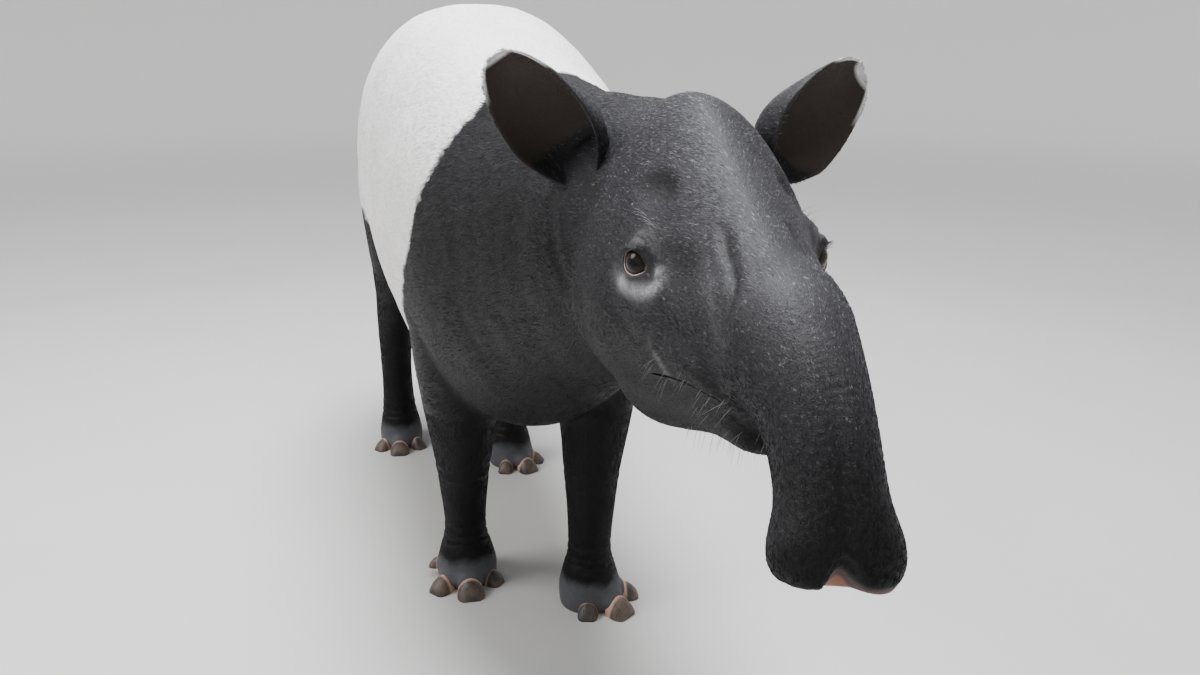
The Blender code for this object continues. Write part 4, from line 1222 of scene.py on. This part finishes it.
def tube(bm, points, radii, sides=5):
    """Adds a closed thin tube through the points, with a radius at each."""
    rings = []
    for (before, point, after), radius in zip(with_neighbours(points), radii):
        along = (after - before).normalized()
        across = along.cross(UPWARD if abs(along.z) < 0.9 else SIDEWAYS).normalized()
        rings.append(circle(bm, point, across, across.cross(along), radius, sides))
    closed_body(bm, rings)


def smoothed(obj):
    obj.data.polygons.foreach_set("use_smooth", [True] * len(obj.data.polygons))


def place_piece(made, name, material):
    """Moves a piece from the raw frame to the row's, and names, colours and mounts it."""
    made.name = made.data.name = name
    made.data.transform(Matrix.Translation(SHIFT))
    made.data.materials.clear()
    made.data.materials.append(material)
    smoothed(made)
    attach(made, "root")


def tree_of(obj):
    return BVHTree.FromPolygons([v.co for v in obj.data.vertices], [tuple(p.vertices) for p in obj.data.polygons])


def hair(bm, tree, start, toward, length, radius, droop=0.0, sides=4):
    """One hair, rooted on the skin under start and bending down by droop of its length."""
    near, facing, _, _ = tree.find_nearest(start)
    way = (toward + facing * 0.4).normalized()
    points = [near - facing * 0.001]
    for k in range(1, 6):
        share = k / 5
        points.append(near + way * length * share + Vector((0, 0, -1)) * droop * length * share**2)
    tube(bm, points, [radius * (1.05 - 0.85 * k / 5) for k in range(6)], sides)


def build_whiskers(skin, dark, light):
    tree = tree_of(skin)
    turn = HEAD.to_3x3()
    bristles, lashes, fringe = bmesh.new(), bmesh.new(), bmesh.new()
    lips = smooth_rows(MOUTH, 8)

    def bristle(start, way, shortest, longest, radius, droop):
        length = RANDOM.uniform(shortest, longest)
        hair(bristles, tree, HEAD @ Vector(start), turn @ Vector(way), length, radius, droop)

    for side in (-1, 1):
        # Long sparse hairs of the lips, chin and muzzle
        for _ in range(30):
            place = lips[int(RANDOM.uniform(0.05, 0.95) * (len(lips) - 1))]
            below = RANDOM.uniform(-0.030, 0.022)
            start = (place[0] * side * 1.1, -place[1], place[2] + below)
            way = (0.55 * side, -0.15 + RANDOM.normal() * 0.35, -0.75 + RANDOM.normal() * 0.3)
            bristle(start, way, 0.010, 0.030, 0.00018, 0.2)
        for _ in range(26):
            start = (RANDOM.uniform(0.0, 0.045) * side, RANDOM.uniform(-0.37, -0.22), -0.240)
            bristle(start, (0.3 * side, -0.3 + RANDOM.normal() * 0.2, -0.9), 0.010, 0.024, 0.00022, 0.1)
        # Hairs over the eye
        for _ in range(9):
            start = mirrored(EYE_AT, side) + Vector((-0.010 * side, RANDOM.uniform(-0.02, 0.02), 0.036))
            bristle(start, (0.7 * side, -0.2 + RANDOM.normal() * 0.2, 0.6), 0.014, 0.026, 0.0002, 0.3)
        # Lashes of the upper lid
        matrix = eye_matrix(side)
        up = matrix.to_3x3() @ UPWARD
        for k in range(LASHES):
            x, z = lid_edge(side, math.radians(18 + 144 * k / (LASHES - 1)))
            reach = math.sqrt(max((EYE_RADIUS + 0.0022) ** 2 - x * x - z * z, 0))
            start = matrix @ Vector((x * 1.06, reach, z * 1.06))
            way = (matrix.to_3x3() @ Vector((x * 18, 1.0, 0.15 + z * 12))).normalized()
            length = RANDOM.uniform(0.006, 0.009)
            points = [start + way * length * s + up * 0.25 * length * (s * s - s) for s in (0, 0.35, 0.7, 1.0)]
            tube(lashes, points, (0.00020, 0.00017, 0.00012, 0.00004), 4)
        # The fringe along the rim of the ear: white at its tip
        place = HEAD @ ear_frame(side)
        for _ in range(FRINGE):
            share = RANDOM.uniform(0.78, 1.0) ** 0.8
            turned = RANDOM.choice((-1, 1))
            if RANDOM.random() < 0.45:
                share, turned = 0.985, RANDOM.uniform(-1, 1)
            edge, out = ear_rim_point(share, turned)
            start = place @ Vector(edge)
            way = (place.to_3x3() @ (Vector(out) + Vector(RANDOM.normal(size=3) * 0.22))).normalized()
            length = RANDOM.uniform(0.002, 0.0045)
            points = [start - way * 0.001, start + way * length * 0.5, start + way * length]
            tube(fringe, points, (0.00034, 0.00026, 0.00008), 3)
    for bm, name, material in ((bristles, "whiskers", light), (lashes, "lashes", dark), (fringe, "ear_fringe", light)):
        place_piece(object_of(bm, name), name, material)


def ear_rim_point(share, turn):
    """A place on the rim of the cup and the way out of it there, in the ear's own frame."""
    _, curl, radius, centre, place = ear_section(share)
    angle = curl * turn
    edge = (radius * math.sin(angle), place, centre - radius * math.cos(angle))
    if share < 0.98:
        return edge, (math.cos(angle) * turn * (1.3 - share), 0.4 + share, math.sin(abs(angle)) * 0.8)
    return edge, (0.6 * math.sin(angle), 1.0, 0.0)


def build_eyeball(side, word, material):
    """The ball with its bulging cornea, its origin at its centre and its look along its own Y."""
    bm = bmesh.new()
    bmesh.ops.create_uvsphere(bm, u_segments=64, v_segments=48, radius=1.0)
    bm.transform(Matrix.Rotation(-math.pi / 2, 4, "X"))
    for vert in bm.verts:
        off = math.acos(max(-1.0, min(1.0, vert.co.y)))
        bulge = 1.0 + 0.030 * max(0.0, 1 - (off / 0.80) ** 2) ** 1.5
        vert.co *= (EYE_RADIUS - 0.0006) * bulge
    eye = object_of(bm, "eyeball_" + word)
    eye.matrix_world = Matrix.Translation(SHIFT) @ eye_matrix(side)
    eye.data.materials.append(material)
    smoothed(eye)
    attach(eye, "root")
    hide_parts("eye_" + word)


def lid_line(side, name, shrink, lift, low_size, high_size):
    """A closed thin roll along the edge of the lids: its sizes are those below and above the eye."""
    matrix = eye_matrix(side)
    path, radii = [], []
    for k in range(LID_POINTS):
        angle = math.tau * k / LID_POINTS
        x, z = (shrink * value for value in lid_edge(side, angle))
        reach = math.sqrt(max((EYE_RADIUS + lift) ** 2 - x * x - z * z, 4e-5))
        path.append(matrix @ Vector((x, reach, z)))
        radii.append(low_size + (high_size - low_size) * (0.5 + 0.5 * math.sin(angle)))
    bm = bmesh.new()
    rings = []
    for before, point, after, radius in zip(path[-1:] + path, path, path[1:] + path[:1], radii):
        along = (after - before).normalized()
        out = (point - matrix.translation).normalized()
        rings.append(circle(bm, point, along.cross(out).normalized(), out, radius, 10))
    bridge(bm, rings + rings[:1])
    return object_of(bm, name)


def build_eyes(ball_material, lid_material, wet_material):
    for side, word in ((-1, "right"), (1, "left")):
        build_eyeball(side, word, ball_material)
        rim = lid_line(side, "lid_rim", 1.03, 0.0020, 0.0007, 0.0012)
        wet = lid_line(side, "tear_line", 0.955, 0.0004, 0.0010, 0.0002)
        place_piece(rim, "lid_rim_" + word, lid_material)
        place_piece(wet, "tear_line_" + word, wet_material)


def hoof_rings(bm, reach, half_width, height, lift):
    """A hoof in its toe's frame: a grooved wall over the top, and a sole that is hollow if it is lifted."""
    starts, widths, heights = np.array(HOOF_SHAPE).T
    rings = []
    for i in range(HOOF_ROWS + 1):
        share = i / HOOF_ROWS
        width = half_width * np.interp(share, starts, widths)
        tall = height * np.interp(share, starts, heights)
        y = -(reach + height * HOOF_LENGTH * share)
        dent = 0.0003 * (0.5 + 0.5 * math.sin(share * 34))
        points = []
        for k in range(HOOF_COLUMNS + 1):
            angle = math.pi * k / HOOF_COLUMNS
            groove = 0.00022 * math.sin(angle * 31 + 1.7 * math.sin(k * 0.7)) - dent
            x = (width + groove - HOOF_INSET) * math.cos(angle)
            z = (tall + groove - HOOF_INSET) * math.sin(angle)
            points.append((x, y, lift + max(z, HOOF_INSET / 2)))
        for k in range(1, SOLE_COLUMNS):
            across = 2 * k / SOLE_COLUMNS - 1
            sole = 0.0003 + 0.0016 * (1 - across**2) * math.sin(math.pi * min(1, share * 1.1))
            points.append(((width - HOOF_INSET) * across, y, lift + sole * (lift > 0)))
        rings.append([bm.verts.new(point) for point in points])
    return rings


def build_hooves(material):
    """Finer hooves with grooved walls, each standing for its own node."""
    for leg in FOOT_AT:
        for toe, turn, *sizes in toes_of(leg):
            bm = bmesh.new()
            rings = hoof_rings(bm, *sizes)
            closed_body(bm, rings)
            node = "%s_hoof_%s" % (leg, toe)
            made = object_of(bm, node)
            store(made.data, "down", np.repeat(np.arange(HOOF_ROWS + 1) / HOOF_ROWS, len(rings[0])))
            made.data.transform(toe_matrix(leg, turn))
            place_piece(made, node + "_horn", material)
            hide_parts(node)


class Net:
    """A new material, and a short way to write its nodes."""

    def __init__(self, name):
        self.material = bpy.data.materials.new(name)
        self.material.use_nodes = True
        self.tree = self.material.node_tree

    def fill(self, node, values):
        """Sets the inputs of a node, or links them."""
        for key, value in values.items():
            if isinstance(value, bpy.types.NodeSocket):
                self.tree.links.new(value, node.inputs[key])
            else:
                node.inputs[key].default_value = value
        return node

    def shade(self, values):
        self.fill(self.tree.nodes["Principled BSDF"], values)
        return self.material

    def node(self, kind, values=None, **settings):
        made = self.tree.nodes.new("ShaderNode" + kind)
        for key, value in settings.items():
            setattr(made, key, value)
        return self.fill(made, values or {})

    def mark(self, name):
        return self.node("Attribute", attribute_name=name).outputs["Fac"]

    def place(self):
        return self.node("TexCoord").outputs["Object"]

    def math(self, kind, first, second=0.0):
        return self.node("Math", {0: first, 1: second}, operation=kind).outputs[0]

    def times(self, first, second):
        return self.math("MULTIPLY", first, second)

    def length(self, first, second):
        return self.math("SQRT", self.math("ADD", self.times(first, first), self.times(second, second)))

    def mix(self, share, first, second, blend="MIX"):
        values = {0: share, 6: first, 7: second}
        return self.node("Mix", values, data_type="RGBA", blend_type=blend).outputs[2]

    def noise(self, scale, detail=2.0, stretch=(1, 1, 1), roughness=0.5):
        mapped = self.node("Mapping", {"Vector": self.place(), "Scale": stretch}).outputs[0]
        values = {"Vector": mapped, "Scale": scale, "Detail": detail, "Roughness": roughness}
        return self.node("TexNoise", values).outputs["Fac"]

    def ramp(self, value, low, high, to_low=0.0, to_high=1.0):
        return self.node("MapRange", {0: value, 1: low, 2: high, 3: to_low, 4: to_high}).outputs[0]

    def bump(self, height, strength):
        return self.node("Bump", {"Height": height, "Distance": 1.0, "Strength": strength}).outputs[0]


def colour(red, green, blue):
    return (red, green, blue, 1.0)


BLACK = colour(0.0045, 0.0040, 0.0041)
# Greyer black: greyish hair together with painted sheen where light falls from above
BLACK_GREY_AND_SHEEN = colour(0.0260, 0.0248, 0.0282)
GREY_HAIR = colour(0.165, 0.165, 0.180)
WHITE = colour(0.860, 0.835, 0.820)
WHITE_SHADE = colour(0.560, 0.540, 0.535)
PALE = colour(0.330, 0.318, 0.330)
BARE = colour(0.040, 0.034, 0.036)
EAR_BROWN = colour(0.042, 0.031, 0.025)
FOOT_SKIN = colour(0.078, 0.080, 0.088)
PINK = colour(0.230, 0.105, 0.075)


def coat_colour(net, per_tuft):
    """The colour of skin and coat alike, from the marks stored on both, which include painted shade, sheen and a
    highlight.
    """
    grain = net.noise(620, 2.0)
    streaks = net.noise(1.0, 2.0, (900, 170, 900))
    slow = net.noise(9, 2.0)
    # The grey mark lightens the black coat with greyer hair and with painted sheen on the upper parts
    grey_and_sheen = net.mark("grey_and_sheen")
    dark = net.mix(net.times(grey_and_sheen, net.ramp(slow, 0.3, 0.7, 0.75, 1.15)), BLACK, BLACK_GREY_AND_SHEEN)
    if per_tuft:
        flecks = net.ramp(net.mark("tone"), 0.85, 1.9)
    else:
        flecks = net.ramp(net.noise(260, 3.0, (1, 0.45, 1), 0.7), 0.60, 0.74)
    dark = net.mix(net.times(flecks, net.ramp(grey_and_sheen, 0, 1, 0.05, 0.75)), dark, GREY_HAIR)
    light = net.mix(net.ramp(slow, 0.35, 0.65), WHITE, WHITE_SHADE)
    light = net.mix(net.ramp(streaks, 0.42, 0.60, 0.0, 0.45), WHITE, light)
    if per_tuft:
        shade = net.ramp(net.mark("tone"), -2, 2, 0.72, 1.28)
        shade = net.node("CombineColor", {0: shade, 1: shade, 2: shade}).outputs[0]
        dark, light = (net.mix(1.0, each, shade, "MULTIPLY") for each in (dark, light))
    dark = net.mix(net.times(net.mark("cup"), 0.85), dark, EAR_BROWN)
    made = net.mix(net.mark("white"), dark, light)
    made = net.mix(net.times(net.mark("pale"), net.ramp(grain, 0.3, 0.7, 0.55, 1.0)), made, PALE)
    made = net.mix(net.mark("bare"), made, BARE)
    made = net.mix(net.times(net.mark("foot"), net.ramp(grain, 0.3, 0.7, 0.7, 1.0)), made, FOOT_SKIN)
    made = net.mix(net.mark("pink"), made, PINK)
    # Painted shade: darkens the colour in the grooves, in the hollow over the eye and along the mouth
    return net.mix(net.times(net.mark("hollow"), 0.75), made, colour(0.006, 0.0055, 0.006))


def coat_material(name, per_tuft, roughness):
    net = Net(name)
    values = {
        "Base Color": coat_colour(net, per_tuft),
        "Roughness": roughness,
        "Specular IOR Level": 0.14,
        "Sheen Weight": 0.02,
        "Sheen Roughness": 0.45,
        "Sheen Tint": colour(0.80, 0.84, 1.0),
    }
    if not per_tuft:
        along, down = (net.noise(1.0, 3.0, stretch) for stretch in ((820, 150, 820), (820, 820, 150)))
        hairs = net.mix(net.mark("leg"), along, down)
        height = net.math("ADD", net.times(hairs, 0.00060), net.times(net.noise(210, 3.0), 0.00050))
        values["Normal"] = net.bump(height, 0.9)
    return net.shade(values)


def plain_material(name, base, roughness, coat=0.0):
    net = Net(name)
    darker = colour(*(0.6 * value for value in base[:3]))
    tint = net.mix(net.ramp(net.noise(700, 2.0), 0.3, 0.7), base, darker)
    return net.shade({"Base Color": tint, "Roughness": roughness, "Coat Weight": coat, "Coat Roughness": 0.06})


def eye_material():
    net = Net("eyeball")
    where = net.node("SeparateXYZ", {0: net.place()})
    x, y, z = (where.outputs[k] for k in range(3))
    flat = net.length(x, z)
    wide = net.length(net.times(x, 0.62), z)
    around = net.times(net.math("ARCTAN2", z, x), 6.0)
    spoke_place = net.node("CombineXYZ", {0: around, 1: net.times(flat, 260.0)}).outputs[0]
    spokes = net.node("TexNoise", {"Vector": spoke_place, "Scale": 3.0, "Detail": 3.0}).outputs["Fac"]
    iris = net.mix(net.ramp(spokes, 0.3, 0.7), colour(0.008, 0.0046, 0.003), colour(0.026, 0.0145, 0.0085))
    iris = net.mix(net.ramp(flat, 0.0100, 0.0128), iris, colour(0.005, 0.0035, 0.003))
    iris = net.mix(net.ramp(wide, 0.0040, 0.0052, 1.0, 0.0), iris, colour(0.0015, 0.0015, 0.002))
    white = net.mix(net.ramp(net.noise(160, 3.0), 0.45, 0.75), colour(0.30, 0.26, 0.25), colour(0.20, 0.10, 0.08))
    in_iris = net.times(net.ramp(flat, 0.0132, 0.0142, 1.0, 0.0), net.ramp(y, -0.001, 0.001))
    values = {
        "Base Color": net.mix(in_iris, white, iris),
        "Roughness": 0.22,
        "Specular IOR Level": 0.10,
        "Coat Weight": 0.40,
        "Coat IOR": 1.33,
        "Coat Roughness": 0.03,
    }
    return net.shade(values)


def hoof_material():
    net = Net("horn")
    walls = net.noise(1.0, 3.0, (520, 520, 70))
    horn = net.mix(net.ramp(walls, 0.35, 0.68), colour(0.120, 0.082, 0.052), colour(0.052, 0.038, 0.030))
    horn = net.mix(net.ramp(net.noise(30, 2.0), 0.42, 0.60), horn, colour(0.036, 0.029, 0.027))
    horn = net.mix(net.ramp(net.mark("down"), 0.30, 0.42, 1.0, 0.0), horn, colour(0.480, 0.290, 0.200))
    return net.shade({"Base Color": horn, "Normal": net.bump(net.times(walls, 0.0006), 0.8), "Roughness": 0.48})


def area_light(name, place, target, size, power, tint):
    light = bpy.data.lights.new(name, "AREA")
    light.shape, light.size, light.energy, light.color = "DISK", size, power, tint
    made = linked(name, light)
    made.location = place
    made.rotation_euler = (Vector(target) - Vector(place)).to_track_quat("-Z", "Y").to_euler()


def build_floor():
    """A pale disc that rises far away like the wall of a bowl; the far wall is paler and has a painted glow that
    brightens the backdrop.
    """
    profile = [(4.0, 0.0), (8.0, 0.0)]
    profile += [(8.0 + 5.0 * math.sin(t), 5.0 - 5.0 * math.cos(t)) for t in np.radians(np.arange(10, 91, 10))]
    profile.append((13.0, 9.0))
    bm = bmesh.new()
    turns = [math.tau * k / 96 for k in range(96)]
    rings = [[bm.verts.new((r * math.cos(t), r * math.sin(t), z)) for t in turns] for r, z in profile]
    bm.faces.new(rings[0])
    bridge(bm, rings)
    floor = object_of(bm, "floor")
    smoothed(floor)
    net = Net("pale_floor")
    where = net.node("VectorMath", {0: net.place()}, operation="LENGTH").outputs["Value"]
    ground = net.mix(net.noise(2.5, 3.0), colour(0.49, 0.482, 0.47), colour(0.53, 0.522, 0.51))
    values = {
        "Base Color": net.mix(net.ramp(where, 3.0, 9.0), ground, colour(0.90, 0.89, 0.88)),
        "Roughness": 0.85,
        "Emission Color": colour(1.0, 0.99, 0.97),
        # Painted glow: the far wall gives off light of its own, though it is no lamp
        "Emission Strength": net.ramp(where, 3.0, 10.0, 0.0, 0.24),
    }
    floor.data.materials.append(net.shade(values))


def build_stage():
    """A plain pale floor under soft light, and the camera where the photographer stood."""
    build_floor()
    world = bpy.data.worlds.new("studio")
    bpy.context.scene.world = world
    world.use_nodes = True
    background = world.node_tree.nodes["Background"]
    background.inputs["Color"].default_value = colour(0.90, 0.94, 1.0)
    background.inputs["Strength"].default_value = 0.28
    for light in LIGHTS:
        area_light(*light)
    camera = bpy.data.cameras.new("photographer")
    made = linked("photographer", camera)
    camera.sensor_width = SENSOR_WIDTH
    camera.sensor_fit = "HORIZONTAL"
    camera.lens = CAMERA_FOCUS / PHOTO_WIDTH * SENSOR_WIDTH
    camera.clip_start = 0.05
    camera.clip_end = 200.0
    yaw, pitch = math.radians(CAMERA_YAW), math.radians(CAMERA_PITCH)
    forward = Vector((math.sin(yaw) * math.cos(pitch), math.cos(yaw) * math.cos(pitch), -math.sin(pitch)))
    made.location = Vector(CAMERA_AT) + SHIFT
    made.rotation_mode = "QUATERNION"
    made.rotation_quaternion = forward.to_track_quat("-Z", "Y")
    bpy.context.scene.camera = made


SHIFT = sum(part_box("eye_right"), Vector()) / 2 - HEAD @ mirrored(EYE_AT, -1)
skin = build_skin()
for key, value in marks(points_of(skin.data)).items():
    store(skin.data, key, value)
build_coat(skin, coat_material("coat_black", True, 0.50), coat_material("coat_white", True, 0.62))
dark_hair = plain_material("dark_hair", colour(0.010, 0.009, 0.009), 0.45)
light_hair = plain_material("light_hair", colour(0.42, 0.40, 0.39), 0.50)
build_whiskers(skin, dark_hair, light_hair)
place_piece(skin, "skin", coat_material("skin", False, 0.52))
flesh = [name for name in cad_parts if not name.startswith("eye_") and "_hoof_" not in name]
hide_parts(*flesh)
lid_skin = plain_material("lid_rim", colour(0.014, 0.011, 0.011), 0.45, 0.1)
wet_skin = plain_material("tear_line", colour(0.50, 0.34, 0.31), 0.25, 0.6)
build_eyes(eye_material(), lid_skin, wet_skin)
build_hooves(hoof_material())
build_stage()
